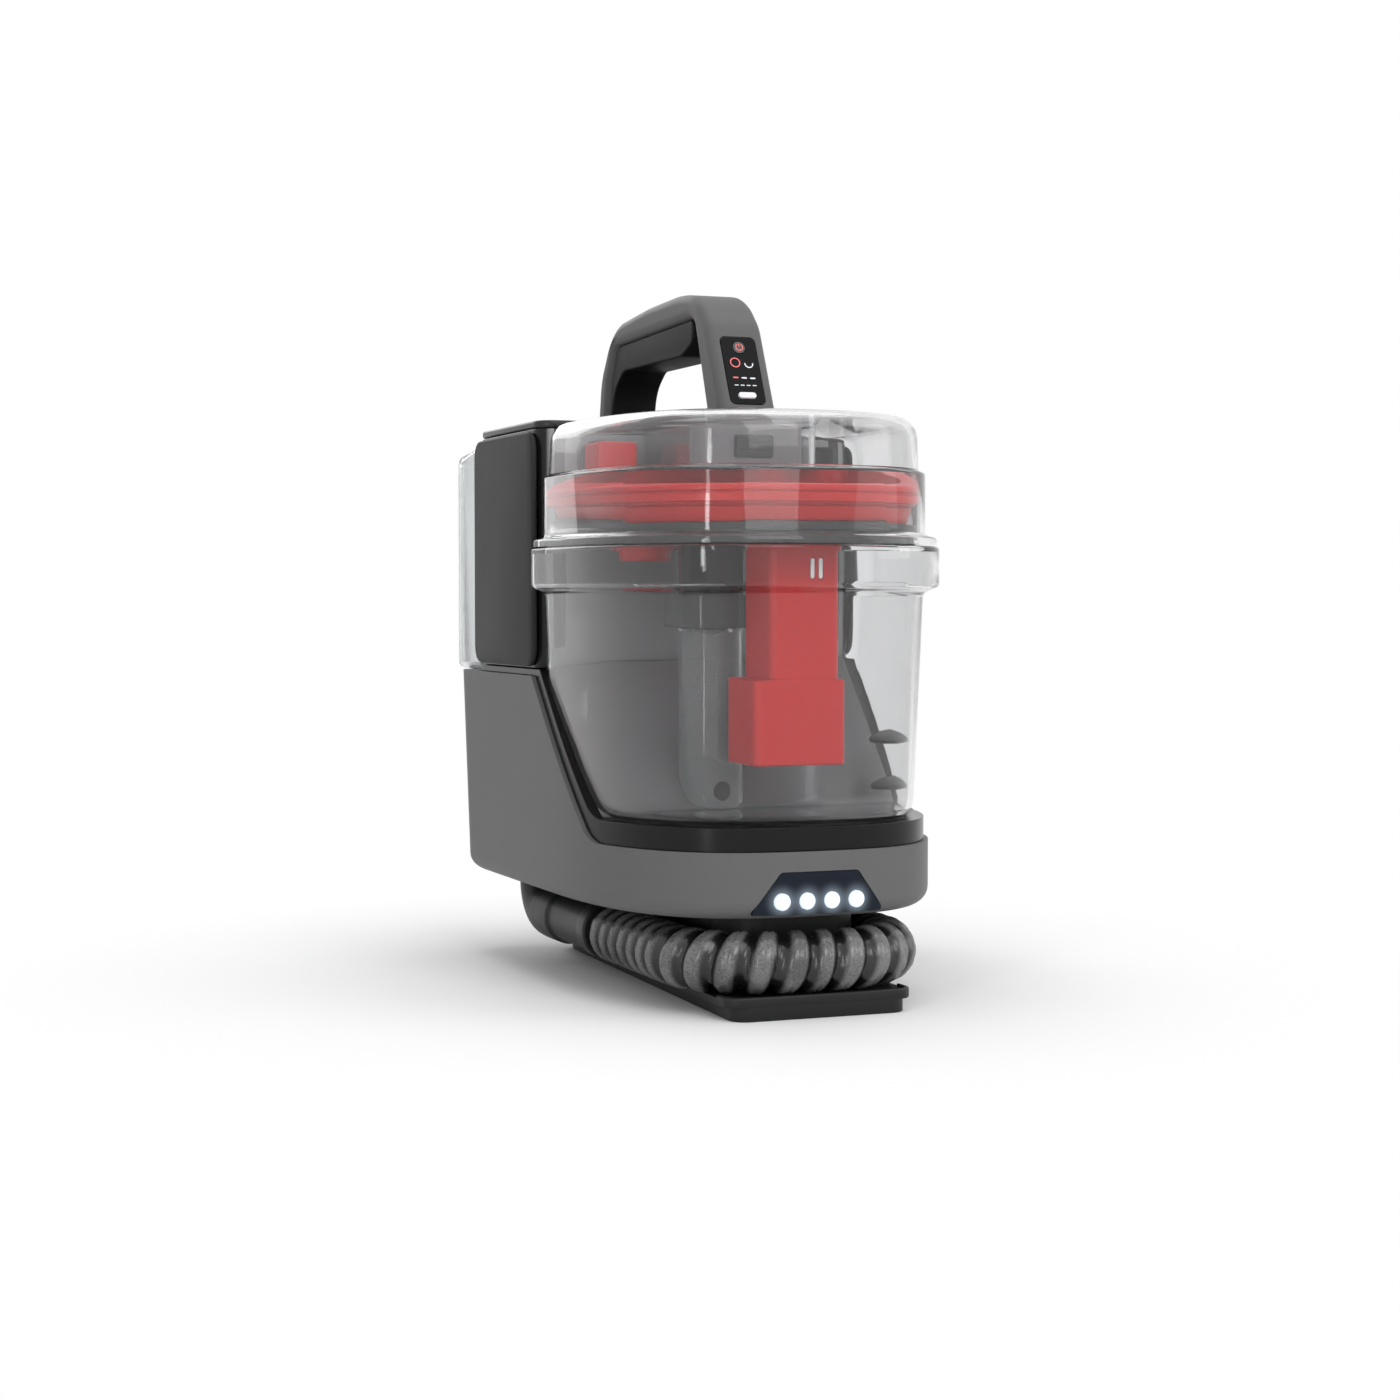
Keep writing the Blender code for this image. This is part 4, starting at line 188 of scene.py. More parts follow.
def clearPlastic(name, tint, rough=0.02, transmission=0.96, ior=1.33, marks=0.35, specular=0.3):
    # clear styrene: faint grey tint, long shallow flow waves, light passes for shadows
    paint = Paint(name)
    waves = paint.noise(14, 1.5, paint.place((1, 1, 0.25)))
    dust = paint.noise(60, 4, None, 0.6)
    tone = paint.blendColour(dust, shaded(tint, 0.965), tint)
    glass = paint.surface(Base_Color=tone, Roughness=dust * (rough * 0.8) + rough * 0.6,
                          Transmission_Weight=transmission, IOR=ior, Specular_IOR_Level=specular,
                          Normal=paint.bump(waves, marks, 0.0009))
    through = paint.node("ShaderNodeBsdfTransparent", {}, {"Color": (*shaded(tint, 0.95), 1)})
    shadowRay = paint.node("ShaderNodeLightPath", out="Is Shadow Ray")
    return paint.finish(paint.node("ShaderNodeMixShader", {}, {0: shadowRay, 1: glass, 2: through}))


def brushedSteel(name, colour=(0.56, 0.56, 0.57)):
    paint = Paint(name)
    lines = paint.noise(900, 3, paint.place((1, 1, 0.04)))
    tone = paint.blendColour(lines, shaded(colour, 0.86), shaded(colour, 1.08))
    return paint.finish(paint.surface(Base_Color=tone, Roughness=lines * 0.2 + 0.2, Metallic=1.0,
                                      Normal=paint.bump(lines, 0.3, 0.00004)))


def softRubber(name, colour=(0.018, 0.018, 0.019), rough=0.62, specular=0.2):
    paint = Paint(name)
    pores = paint.noise(2100, 2)
    bloom = paint.noise(30, 4)
    tone = paint.blendColour(bloom, shaded(colour, 0.85), shaded(colour, 1.35))
    return paint.finish(paint.surface(Base_Color=tone, Roughness=bloom * 0.16 + (rough - 0.08),
                                      Specular_IOR_Level=specular, Normal=paint.bump(pores, 0.35, 0.0001)))


def twoTone(mask, first, second, rough=0.24):
    # one moulding in two colours, parted by a mask that says where the second one is; on the tower and the
    # trim that second, grey colour is painted light
    paint = mask.paint
    cloud = paint.noise(22, 3)
    tones = [paint.blendColour(cloud, shaded(colour, 0.88), shaded(colour, 1.12))
             for colour in (first, second)]
    return paint.finish(paint.surface(Base_Color=paint.blendColour(mask, *tones),
                                      Roughness=cloud * 0.08 + mask * 0.12 + rough, Specular_IOR_Level=0.22,
                                      Normal=paint.bump(paint.noise(1600), 0.06, 0.00006)))


def circuitBoard(name):
    paint = Paint(name)
    tracks = paint.node("ShaderNodeTexBrick", {},
                        {"Vector": paint.place(), "Scale": 160.0, "Color1": (0.02, 0.14, 0.06, 1),
                         "Color2": (0.03, 0.19, 0.08, 1), "Mortar": (0.05, 0.26, 0.12, 1),
                         "Mortar Size": 0.03})
    low = paint.part(2)
    parts = paint.smooth(low, 0.0605, 0.0612)
    tone = paint.blendColour(parts, tracks, (0.035, 0.036, 0.04))
    return paint.finish(paint.surface(Base_Color=tone, Roughness=paint.noise(90) * 0.2 + 0.35))


bodyGrey = moulded("bodyGrey", (0.130, 0.130, 0.132), 0.42, 0.0, 0.16, specular=0.08)
bodyDark = moulded("bodyDark", (0.011, 0.011, 0.012), 0.42, specular=0.28)
panelGrey = moulded("panelGrey", (0.034, 0.034, 0.036), 0.40, 0.0, 0.12, specular=0.03)
finGrey = moulded("finGrey", (0.012, 0.012, 0.013), 0.40, specular=0.08)
partsGrey = moulded("partsGrey", (0.070, 0.071, 0.074), 0.34)
separatorRed = moulded("separatorRed", (0.50, 0.008, 0.008), 0.34, grain=0.1, mottle=0.05, specular=0.3)
triggerRed = moulded("triggerRed", (0.52, 0.030, 0.030), 0.3, grain=0.1)
keyWhite = moulded("keyWhite", (0.82, 0.83, 0.84), 0.3, grain=0.05, mottle=0.02)
fanWhite = moulded("fanWhite", (0.62, 0.63, 0.64), 0.42)
gripRubber = softRubber("gripRubber", (0.010, 0.010, 0.011), 0.55, 0.14)
padRubber = softRubber("padRubber")
sealRubber = softRubber("sealRubber", (0.034, 0.034, 0.034), 0.45)
steel = brushedSteel("steel")
board = circuitBoard("board")
tankClear = clearPlastic("tankClear", (0.86, 0.865, 0.87), transmission=0.985)
lidClear = clearPlastic("lidClear", (0.86, 0.865, 0.87), transmission=0.98)
pipeClear = clearPlastic("pipeClear", (0.56, 0.565, 0.57), 0.05, 0.86)
cageClear = clearPlastic("cageClear", (0.12, 0.122, 0.126), 0.06, 0.62)
waterClear = clearPlastic("waterClear", (0.80, 0.82, 0.83), 0.09, 0.90)
tubeClear = clearPlastic("tubeClear", (0.84, 0.85, 0.86), 0.12, 0.9)
print("plastics mixed")


# mesh helpers; lengths are in metres

weldReach = 2e-6       # vertices nearer than this are one
cutWeldReach = 4e-6    # the same after a cut, which leaves slivers
seam = 0.0003          # gap that moulded pieces keep to each other


def toObject(build, name):
    bmesh.ops.remove_doubles(build, verts=build.verts, dist=weldReach)
    bmesh.ops.recalc_face_normals(build, faces=build.faces)
    mesh = bpy.data.meshes.new(name)
    build.to_mesh(mesh)
    build.free()
    made = bpy.data.objects.new(name, mesh)
    sceneObjects.link(made)
    return made


def combine(target, tools, operation="DIFFERENCE"):
    for tool in tools:
        change = target.modifiers.new("combine", "BOOLEAN")
        change.operation = operation
        change.solver = "EXACT"
        change.object = tool
        graph = bpy.context.evaluated_depsgraph_get()
        result = bpy.data.meshes.new_from_object(target.evaluated_get(graph))
        target.modifiers.clear()
        weld = bmesh.new()
        weld.from_mesh(result)
        bmesh.ops.remove_doubles(weld, verts=weld.verts, dist=cutWeldReach)
        bmesh.ops.dissolve_degenerate(weld, dist=cutWeldReach, edges=weld.edges)
        weld.to_mesh(result)
        weld.free()
        spent = target.data
        target.data = result
        bpy.data.meshes.remove(spent)
        bpy.data.objects.remove(tool, do_unlink=True)
    return target


def carve(target, *tools):
    return combine(target, tools)


def fuse(target, *tools):
    return combine(target, tools, "UNION")


def common(target, *tools):
    return combine(target, tools, "INTERSECT")


def dress(piece, name, body, paint, stands=(), edge=0.0, edgeSteps=2, smooth=38, flat=False):
    # name, finish, softened edges, and the body it moves with
    piece.name = name
    piece.data.materials.clear()
    piece.data.materials.append(paint)
    piece.data.shade_smooth()
    piece.data.set_sharp_from_angle(angle=math.radians(smooth))
    if edge:
        bevel = piece.modifiers.new("edge", "BEVEL")
        bevel.width = edge
        bevel.segments = edgeSteps
        bevel.limit_method = "ANGLE"
        bevel.angle_limit = math.radians(smooth)
        bevel.harden_normals = flat
        bevel.use_clamp_overlap = True
        if not flat:
            even = piece.modifiers.new("even", "WEIGHTED_NORMAL")
            even.keep_sharp = True
    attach(piece, body)
    if stands:
        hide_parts(*([stands] if isinstance(stands, str) else stands))
    return piece


axisTurns = {"X": Matrix(((0, 0, 1, 0), (1, 0, 0, 0), (0, 1, 0, 0), (0, 0, 0, 1))),
             "Y": Matrix(((1, 0, 0, 0), (0, 0, 1, 0), (0, 1, 0, 0), (0, 0, 0, 1))), "Z": Matrix.Identity(4)}


def slab(corners, low, high, axis="Z", radii=0.0, steps=7, soft=0.0, softSteps=3, name="tool"):
    # a face from a few points, its corners rounded, thickened along the axis, its rims softened
    build = bmesh.new()
    spots = [build.verts.new((a, b, low)) for a, b in corners]
    build.faces.new(spots)
    radii = radii if isinstance(radii, (list, tuple)) else [radii] * len(corners)
    for i, radius in enumerate(radii):
        if radius <= 0:
            continue
        here = Vector(corners[i])
        back = Vector(corners[i - 1]) - here
        ahead = Vector(corners[(i + 1) % len(corners)]) - here
        reach = min(radius / math.tan(back.angle(ahead) / 2), 0.49 * min(back.length, ahead.length))
        bmesh.ops.bevel(build, geom=[spots[i]], offset=reach, offset_type="OFFSET", segments=steps,
                        profile=0.5, affect="VERTICES", material=-1)
    grown = bmesh.ops.extrude_face_region(build, geom=build.faces[:])["geom"]
    bmesh.ops.translate(build, vec=(0, 0, high - low),
                        verts=[g for g in grown if isinstance(g, bmesh.types.BMVert)])
    if soft:
        rims = [e for e in build.edges if abs(e.verts[0].co.z - e.verts[1].co.z) < 1e-7]
        bmesh.ops.bevel(build, geom=rims, offset=soft, segments=softSteps, profile=0.5, affect="EDGES",
                        material=-1, clamp_overlap=True)
    bmesh.ops.transform(build, matrix=axisTurns[axis], verts=build.verts)
    return toObject(build, name)


def brick(low, high, radius=0.0, soft=0.0, axis="Z", name="tool"):
    # box between two corners with rounded upright edges and soft rims
    order = {"X": (1, 2, 0), "Y": (0, 2, 1), "Z": (0, 1, 2)}[axis]
    a, b, h = order
    corners = [(low[a], low[b]), (high[a], low[b]), (high[a], high[b]), (low[a], high[b])]
    return slab(corners, low[h], high[h], axis, radius, 6, soft, 3, name)


def turned(profile, centre=(0, 0, 0), axis="Z", steps=48, name="tool"):
    # lathe work: (radius, height) points spun round the axis
    build = bmesh.new()
    spots = [build.verts.new((radius, 0, height)) for radius, height in profile]
    edges = [build.edges.new(pair) for pair in zip(spots, spots[1:])]
    if profile[0][0] > 1e-6 or profile[-1][0] > 1e-6:
        edges.append(build.edges.new((spots[-1], spots[0])))
    bmesh.ops.spin(build, geom=spots + edges, cent=(0, 0, 0), axis=(0, 0, 1), angle=2 * math.pi, steps=steps,
                   use_merge=True, use_duplicate=False)
    bmesh.ops.transform(build, matrix=Matrix.Translation(centre) @ axisTurns[axis], verts=build.verts)
    return toObject(build, name)


def peg(start, end, radius, steps=32, name="tool"):
    way = Vector(end) - Vector(start)
    build = bmesh.new()
    bmesh.ops.create_cone(build, cap_ends=True, segments=steps, radius1=radius, radius2=radius,
                          depth=way.length)
    middle = Matrix.Translation((Vector(start) + Vector(end)) / 2)
    turn = way.to_track_quat("Z", "Y").to_matrix().to_4x4()
    bmesh.ops.transform(build, matrix=middle @ turn, verts=build.verts)
    return toObject(build, name)


def placedSolid(count, sections, spotAt, name="tool"):
    # a disc whose points are placed on a plan curve, extruded from section to section
    build = bmesh.new()
    step = build.verts.layers.int.new("step")
    disc = bmesh.ops.create_circle(build, cap_ends=True, segments=count, radius=1)["verts"]
    for index, spot in enumerate(disc):
        spot[step] = index
    build.faces.ensure_lookup_table()
    top = build.faces[0]
    for number, section in enumerate(sections):
        if number:
            grown = bmesh.ops.extrude_face_region(build, geom=[top])["geom"]
            if number > 1 and top.is_valid:
                build.faces.remove(top)
            top = next(part for part in grown if isinstance(part, bmesh.types.BMFace))
        curve = spotAt(section)
        for spot in top.verts:
            spot.co = curve[spot[step]]
    return toObject(build, name)


plan = {"half": 0.0960, "noseY": -0.1630, "noseLength": 0.1554, "nosePower": 2.865, "noseSteps": 72,
        "cornerSteps": 8, "rear": 0.1580, "corner": 0.0300}


def planCurve(inset, rear, corner, height):
    # squared half ellipse at the nose, straight flanks, round rear corners
    half = plan["half"] - inset
    length = plan["noseLength"] - inset
    flank = plan["noseY"] + plan["noseLength"]
    power = 2 / plan["nosePower"]
    noseEnd = min(flank, rear - corner - 0.001)
    first = math.asin(min(1.0, ((flank - noseEnd) / length) ** (1 / power)))
    points = []
    for k in range(plan["noseSteps"] + 1):
        angle = first + (math.pi - 2 * first) * k / plan["noseSteps"]
        across = math.copysign(abs(math.cos(angle)) ** power, math.cos(angle))
        points.append((half * across, flank - length * abs(math.sin(angle)) ** power, height))
    for side in (-1, 1):
        for k in range(plan["cornerSteps"] + 1):
            turn = math.pi / 2 * (k if side < 0 else plan["cornerSteps"] - k) / plan["cornerSteps"]
            points.append((side * (half - corner + corner * math.cos(turn)),
                           rear - corner + corner * math.sin(turn), height))
    return points


def bodySolid(sections, rear=None, corner=None, name="tool"):
    # sections are (height, inset) or (height, inset, rear)
    rear = plan["rear"] if rear is None else rear
    corner = plan["corner"] if corner is None else corner
    count = plan["noseSteps"] + 1 + 2 * (plan["cornerSteps"] + 1)
    return placedSolid(count, sections, lambda s: planCurve(s[1], s[2] if len(s) > 2 else rear, corner, s[0]),
                       name)


cradle = {"floor": 0.0944, "toeY": -0.0800, "fillet": 0.0220, "shelf": 0.1645, "deck": 0.1680, "band": 0.0819,
          "slopeDrop": 0.0089}


def cradleCorners(flatDrop, slopeDrop, shelf):
    # side profile of what the dirty tank sits on, lowered by the two drops
    floor = cradle["floor"] - flatDrop
    start = cradle["toeY"] + slopeDrop / math.cos(math.pi / 4) - flatDrop
    return [(-0.22, floor), (start, floor), (start + shelf - floor, shelf), (0.22, shelf)]


def aboveCradle(flatDrop, slopeDrop, shelf):
    line = cradleCorners(flatDrop, slopeDrop, shelf)
    return slab(line + [(0.22, 0.4), (-0.22, 0.4)], -0.2, 0.2, "X", [0, cradle["fillet"], 0, 0, 0, 0], 12)


def belowCradle(flatDrop, slopeDrop, fillet):
    line = cradleCorners(flatDrop, slopeDrop, 0.30)
    return slab(line[:3] + [(line[2][0], 0.0), (-0.22, 0.0)], -0.2, 0.2, "X", [0, fillet, 0, 0, 0], 12)


def smoothCopy(node, name, paint, body, edge=0.0, smooth=38):
    # the CAD shape with its triangles joined, shaded smooth
    build = bmesh.new()
    build.from_mesh(nodes[node].data)
    bmesh.ops.remove_doubles(build, verts=build.verts, dist=1e-6)
    bmesh.ops.dissolve_limit(build, angle_limit=math.radians(1), verts=build.verts, edges=build.edges)
    return dress(toObject(build, name), name, body, paint, node, edge, 2, smooth)


# base: tray, pedestal, hose

tray = {"front": -0.1665, "rear": 0.1250, "frontHalf": 0.0505, "rearHalf": 0.0440, "soleFront": 0.0475,
        "soleRear": 0.0360, "floor": 0.0105, "top": 0.0120, "rimWidth": 0.0022}


def trayCorners(frontHalf, rearHalf, inset=0.0):
    front, rear = tray["front"] + inset, tray["rear"] - inset
    return [(-frontHalf + inset, front), (frontHalf - inset, front), (rearHalf - inset, rear),
            (-rearHalf + inset, rear)]


trayRadii = [0.009, 0.009, 0.018, 0.018]
baseTray = slab(trayCorners(tray["frontHalf"], tray["rearHalf"]), 0.0066, tray["top"], "Z", trayRadii, 8,
                0.0010, 3)
fuse(baseTray,
     slab(trayCorners(tray["soleFront"], tray["soleRear"], 0.0002), 0.0, 0.0085, "Z", trayRadii, 8, 0.0006,
          2))
carve(baseTray,
      slab(trayCorners(tray["frontHalf"], tray["rearHalf"], tray["rimWidth"]), tray["floor"], 0.03, "Z",
           [0.007, 0.007, 0.016, 0.016], 8),
      brick((-0.1, tray["front"] + 0.016, tray["floor"]), (0.1, 0.2, 0.03)))
dress(baseTray, "baseTray", "machine", bodyDark, "base_tray")

pedestal = {"half": 0.0385, "front": -0.1385, "rear": 0.1165, "low": 0.0108, "high": 0.0487,
            "radii": [0.029, 0.029, 0.012, 0.012]}
half = pedestal["half"]
postCorners = [(-half, pedestal["front"]), (half, pedestal["front"]), (half, pedestal["rear"]),
               (-half, pedestal["rear"])]
post = slab(postCorners, pedestal["low"], pedestal["high"], "Z", pedestal["radii"], 10)
dress(post, "pedestalPost", "machine", bodyDark, "pedestal")
portElbow = {"x": -0.056, "face": 0.0763, "radius": 0.0157, "straight": 0.0040, "bend": 0.0172,
             "rise": 0.0048, "sides": 48, "steps": 12}


def elbowRing(station):
    # circle of the elbow at a station: straight out of the cuff, a quarter bend, straight up
    e = portElbow
    turn = math.pi / 2 * min(max(station, 0.0), 1.0)
    y = e["face"] + e["straight"] * (station >= 0) + e["bend"] * math.sin(turn)
    z = hose["z"] + e["bend"] * (1 - math.cos(turn)) + e["rise"] * (station > 1)
    points = []
    for k in range(e["sides"]):
        angle = 2 * math.pi * k / e["sides"]
        lift = e["radius"] * math.sin(angle)
        points.append((e["x"] + e["radius"] * math.cos(angle), y - lift * math.sin(turn),
                       z + lift * math.cos(turn)))
    return points


hose = {"radius": 0.0160, "valley": 0.0118, "pitch": 0.0140, "sides": 40, "perRib": 12, "z": 0.0268,
        "crestShare": 0.80, "groove": 0.0010, "grooveWidth": 0.050, "easeRings": 6,
        "corners": [(-0.056, -0.0123), (-0.056, -0.156), (0.056, -0.156), (0.056, 0.030), (0.119, 0.093)],
        "bends": [0.046, 0.046, 0.048, 0.040], "topZ": 0.1014}


def routeOf(corners, bends, spacing):
    # straight runs and arcs, read at an even spacing
    dense = [corners[0]]
    for i, bend in enumerate(bends, 1):
        back = (corners[i - 1] - corners[i]).normalized()
        ahead = (corners[i + 1] - corners[i]).normalized()
        half = back.angle(ahead) / 2
        centre = corners[i] + (back + ahead).normalized() * (bend / math.sin(half))
        first = corners[i] + back * (bend / math.tan(half)) - centre
        last = corners[i] + ahead * (bend / math.tan(half)) - centre
        dense += [centre + first.slerp(last, k / 40) * bend for k in range(41)]
    dense.append(corners[-1])
    lengths = [0.0]
    for one, two in zip(dense, dense[1:]):
        lengths.append(lengths[-1] + (two - one).length)
    count = round(lengths[-1] / spacing)
    points, index = [], 0
    for k in range(count + 1):
        want = lengths[-1] * k / count
        while index < len(lengths) - 2 and lengths[index + 1] < want:
            index += 1
        span = max(lengths[index + 1] - lengths[index], 1e-9)
        points.append(dense[index].lerp(dense[index + 1], (want - lengths[index]) / span))
    return points


def ribbedHose():
    corners = [Vector((x, y, hose["z"])) for x, y in hose["corners"]]
    corners.append(Vector((*hose["corners"][-1], hose["topZ"])))
    spacing = hose["pitch"] / hose["perRib"]
    route = routeOf(corners, hose["bends"], spacing)
    build = bmesh.new()
    phase = build.verts.layers.int.new("step")
    ridge = build.verts.layers.float.new("ridge")
    along = (route[1] - route[0]).normalized()
    side = Vector((0, 0, 1)).cross(along).normalized()
    rings = []
    for number, point in enumerate(route):
        ahead = (route[min(number + 1, len(route) - 1)] - route[max(number - 1, 0)]).normalized()
        side.rotate(along.rotation_difference(ahead))
        along = ahead
        up = along.cross(side)
        ring = bmesh.ops.create_circle(build, segments=hose["sides"], radius=1)["verts"]
        for spot in ring:
            angle = math.atan2(spot.co.y, spot.co.x)
            lap = (number * spacing / hose["pitch"] + angle / (2 * math.pi)) % 1.0
            crest = max(0.0, math.sin(math.pi * min(1.0, lap / hose["crestShare"]))) ** 0.6
            groove = hose["groove"] * math.exp(-((lap - hose["crestShare"] / 2) / hose["grooveWidth"]) ** 2)
            ease = min(1.0, number / hose["easeRings"], (len(route) - 1 - number) / hose["easeRings"])
            radius = hose["valley"] + (hose["radius"] - hose["valley"]) * crest * ease - groove * ease
            spot.co = point + (side * math.cos(angle) + up * math.sin(angle)) * radius
            spot[phase] = number
            spot[ridge] = crest * ease
        rings.append(ring)
    for one, two in zip(rings, rings[1:]):
        edges = {e for spot in one + two
                 for e in spot.link_edges if len(e.link_faces) < 2 and e.verts[0][phase] == e.verts[1][phase]}
        bmesh.ops.bridge_loops(build, edges=list(edges))
    return toObject(build, "suctionHose")


def hoseVinyl():
    # glossy grey vinyl with drawn streaks; the ribs keep the vinyl's grey and painted shade darkens the
    # valleys between them to near black
    paint = Paint("hoseVinyl")
    streaks = paint.noise(900, 3, None, 0.7)
    cloud = paint.noise(34, 3)
    ridge = paint.node("ShaderNodeAttribute", {"attribute_name": "ridge"}, out="Fac")
    vinyl = paint.blendColour(paint.smooth(streaks * 0.5 + cloud * 0.5, 0.40, 0.60), (0.070, 0.068, 0.069),
                              (0.165, 0.161, 0.163))
    # painted shade: near black in the valleys between the ribs, read from the ridge height
    tone = paint.blendColour(paint.smooth(ridge, 0.45, 0.92), (0.008, 0.008, 0.008), vinyl)
    return paint.finish(paint.surface(Base_Color=tone, Roughness=streaks * 0.10 + 0.20,
                                      Specular_IOR_Level=0.6, Normal=paint.bump(streaks, 0.12, 0.0002)))


dress(ribbedHose(), "suctionHose", "machine", hoseVinyl(), "suction_hose", smooth=70)

stations = [-1] + [k / portElbow["steps"] for k in range(portElbow["steps"] + 1)] + [2]
dress(placedSolid(portElbow["sides"], stations, elbowRing), "portElbow", "machine", bodyDark,
      "pedestal", smooth=50)
bore = 0.0105
cuff = {"start": (-0.0560, -0.0120, 0.0268),
        "profile": [(bore, 0.0), (0.0150, 0.0), (0.0158, 0.0010), (0.0158, 0.0115), (0.0142, 0.0140),
                    (0.0142, 0.0640), (0.0158, 0.0665), (0.0158, 0.0880), (bore, 0.0880)]}
toolCuff = {"start": (0.119, 0.093, 0.1017),
            "profile": [(bore, 0.0), (0.0150, 0.0), (0.0150, 0.0060), (0.0136, 0.0075), (0.0136, 0.0145),
                        (0.0150, 0.0160), (0.0144, 0.0220), (bore, 0.0220)]}
dress(turned(cuff["profile"], cuff["start"], "Y", 48), "hoseCuff", "machine", bodyDark, "hose_cuff",
      0.0004)
dress(turned(toolCuff["profile"], toolCuff["start"], "Z", 40), "toolCuff", "machine", bodyDark,
      "tool_cuff", 0.0004)
print("base and hose made")


# lower housing, trim and lamps

housing = {"bottom": 0.0487, "bend": 0.0090, "wall": 0.0025, "rearLow": 0.1440, "rearTop": 0.1580,
           "lip": 0.0035}
vents = {"count": 6, "half": 0.045, "low": 0.0800, "pitch": 0.0085, "height": 0.0038, "corner": 0.0015}
inletCut = {"left": 0.058, "right": 0.082, "low": 0.0675, "high": 0.0865}


def rearAt(height):
    share = (height - housing["bottom"]) / (cradle["shelf"] - housing["bottom"])
    return housing["rearLow"] + (housing["rearTop"] - housing["rearLow"]) * share


def housingSections(inset, low, high, steps=8):
    sections = []
    for k in range(steps + 1):
        turn = math.pi / 2 * k / steps
        height = housing["bottom"] + housing["bend"] * (1 - math.cos(turn))
        depth = housing["bend"] * (1 - math.sin(turn)) + inset
        if height > low:
            sections.append((height, depth, rearAt(height) - depth))
    return sections + [(high, inset, rearAt(high) - inset)]


lamps = {"count": 4, "pitch": 0.0133, "radius": 0.0042, "z": 0.0575, "low": 0.0510, "high": 0.0718,
         "lowHalf": 0.0365, "highHalf": 0.0205, "thick": 0.0032, "colour": (0.72, 0.86, 1.0)}
lampPlaces = [lamps["pitch"] * (k - (lamps["count"] - 1) / 2) for k in range(lamps["count"])]


def lampPanelSlab(grow, front, rear):
    corners = [(-lamps["lowHalf"] - grow, lamps["low"] - grow),
               (lamps["lowHalf"] + grow, lamps["low"] - grow),
               (lamps["highHalf"] + grow, lamps["high"] + grow),
               (-lamps["highHalf"] - grow, lamps["high"] + grow)]
    return slab(corners, front, rear, "Y", [0.002, 0.002, 0.003, 0.003], 6)


def makeHousing():
    high = cradle["shelf"] + 0.01
    made = bodySolid(housingSections(0.0, 0.0, high))
    flatDrop = cradle["floor"] - cradle["band"]
    slopeDrop, wall = cradle["slopeDrop"], housing["wall"]
    carve(made, aboveCradle(flatDrop, slopeDrop, cradle["shelf"]))
    lipInset = housing["bend"] + housing["lip"]
    lipRear = rearAt(housing["bottom"]) - lipInset
    lip = [(housing["bottom"] - 0.01, lipInset, lipRear), (housing["bottom"] + 0.004, lipInset, lipRear)]
    inside = housingSections(wall, housing["bottom"] + 0.005, high)
    inner = bodySolid(lip + inside, corner=plan["corner"] - wall)
    carve(inner, aboveCradle(flatDrop + wall, slopeDrop + wall, cradle["shelf"] - wall))
    carve(made, inner, lampPanelSlab(seam, plan["noseY"] - 0.02, plan["noseY"] + 0.012))
    for k in range(vents["count"]):
        z = vents["low"] + vents["pitch"] * k
        carve(made, brick((-vents["half"], 0.125, z), (vents["half"], 0.175, z + vents["height"]),
                          vents["corner"], axis="Y"))
    carve(made, brick((inletCut["left"], 0.120, inletCut["low"]),
                      (inletCut["right"], 0.175, inletCut["high"]), 0.001, axis="Y"))
    return made


dress(makeHousing(), "lowerHousing", "machine", bodyGrey, "lower_housing", 0.0006, 2, 30)


trim = {"inset": 0.0022, "rear": 0.1112, "corner": 0.010, "drop": 0.0006, "slopeDrop": 0.0086,
        "riserY": 0.0965, "riserRadius": 0.0113}


def makeTrim():
    made = bodySolid([(0.06, trim["inset"]), (0.19, trim["inset"])], trim["rear"], trim["corner"])
    upper = cradleCorners(trim["drop"], trim["drop"], cradle["deck"])
    lower = cradleCorners(cradle["floor"] - cradle["band"] - seam, trim["slopeDrop"], cradle["shelf"] + seam)
    common(made, slab(upper + lower[::-1], -0.2, 0.2, "X",
                      [0, cradle["fillet"], 0, 0, 0, 0, cradle["fillet"], 0], 12))
    riser = (portElbow["x"], trim["riserY"])
    carve(made, peg((*riser, 0.15), (*riser, 0.18), trim["riserRadius"]))
    return made


def trimTones():
    # gloss black round the rim, with painted light on the slope behind the dirty tank: grey there so that the
    # tank in front reads hazy grey
    paint = Paint("trimTones")
    across = paint.node("ShaderNodeMath", {"operation": "ABSOLUTE"}, {0: paint.part(0)})
    # painted light: grey on the slope behind the dirty tank
    inside = (across < 0.0850) * paint.smooth(paint.part(1), -0.0860, -0.0780)
    return twoTone(inside, (0.0045, 0.0045, 0.005), (0.19, 0.19, 0.193), 0.2)


dress(makeTrim(), "cradleTrim", "machine", trimTones(), "cradle_trim", 0.0008, 3, 30)


def lampSpots(paint, far, near, power=1.0):
    # 1 at each lamp's middle, falling to 0 at the far radius
    across, up = paint.part(0), paint.part(2)
    total = 0.0
    for x in lampPlaces:
        away = ((across - x) ** 2.0 + (up - lamps["z"]) ** 2.0) ** 0.5
        spot = paint.smooth(away, far, near)
        total = total + (spot ** power if power != 1.0 else spot)
    return total


def lampGlow(name, base, strength, spread):
    # dark panel that catches the lamps' light: a soft halo round each window
    paint = Paint(name)
    tone = paint.blendColour(lampSpots(paint, spread, 0.0, 2.0), (0, 0, 0), lamps["colour"])
    return paint.finish(paint.surface(Base_Color=paint.blendColour(paint.noise(40), base, shaded(base, 1.5)),
                                      Roughness=0.16, Specular_IOR_Level=0.15, Emission_Color=tone,
                                      Emission_Strength=strength))


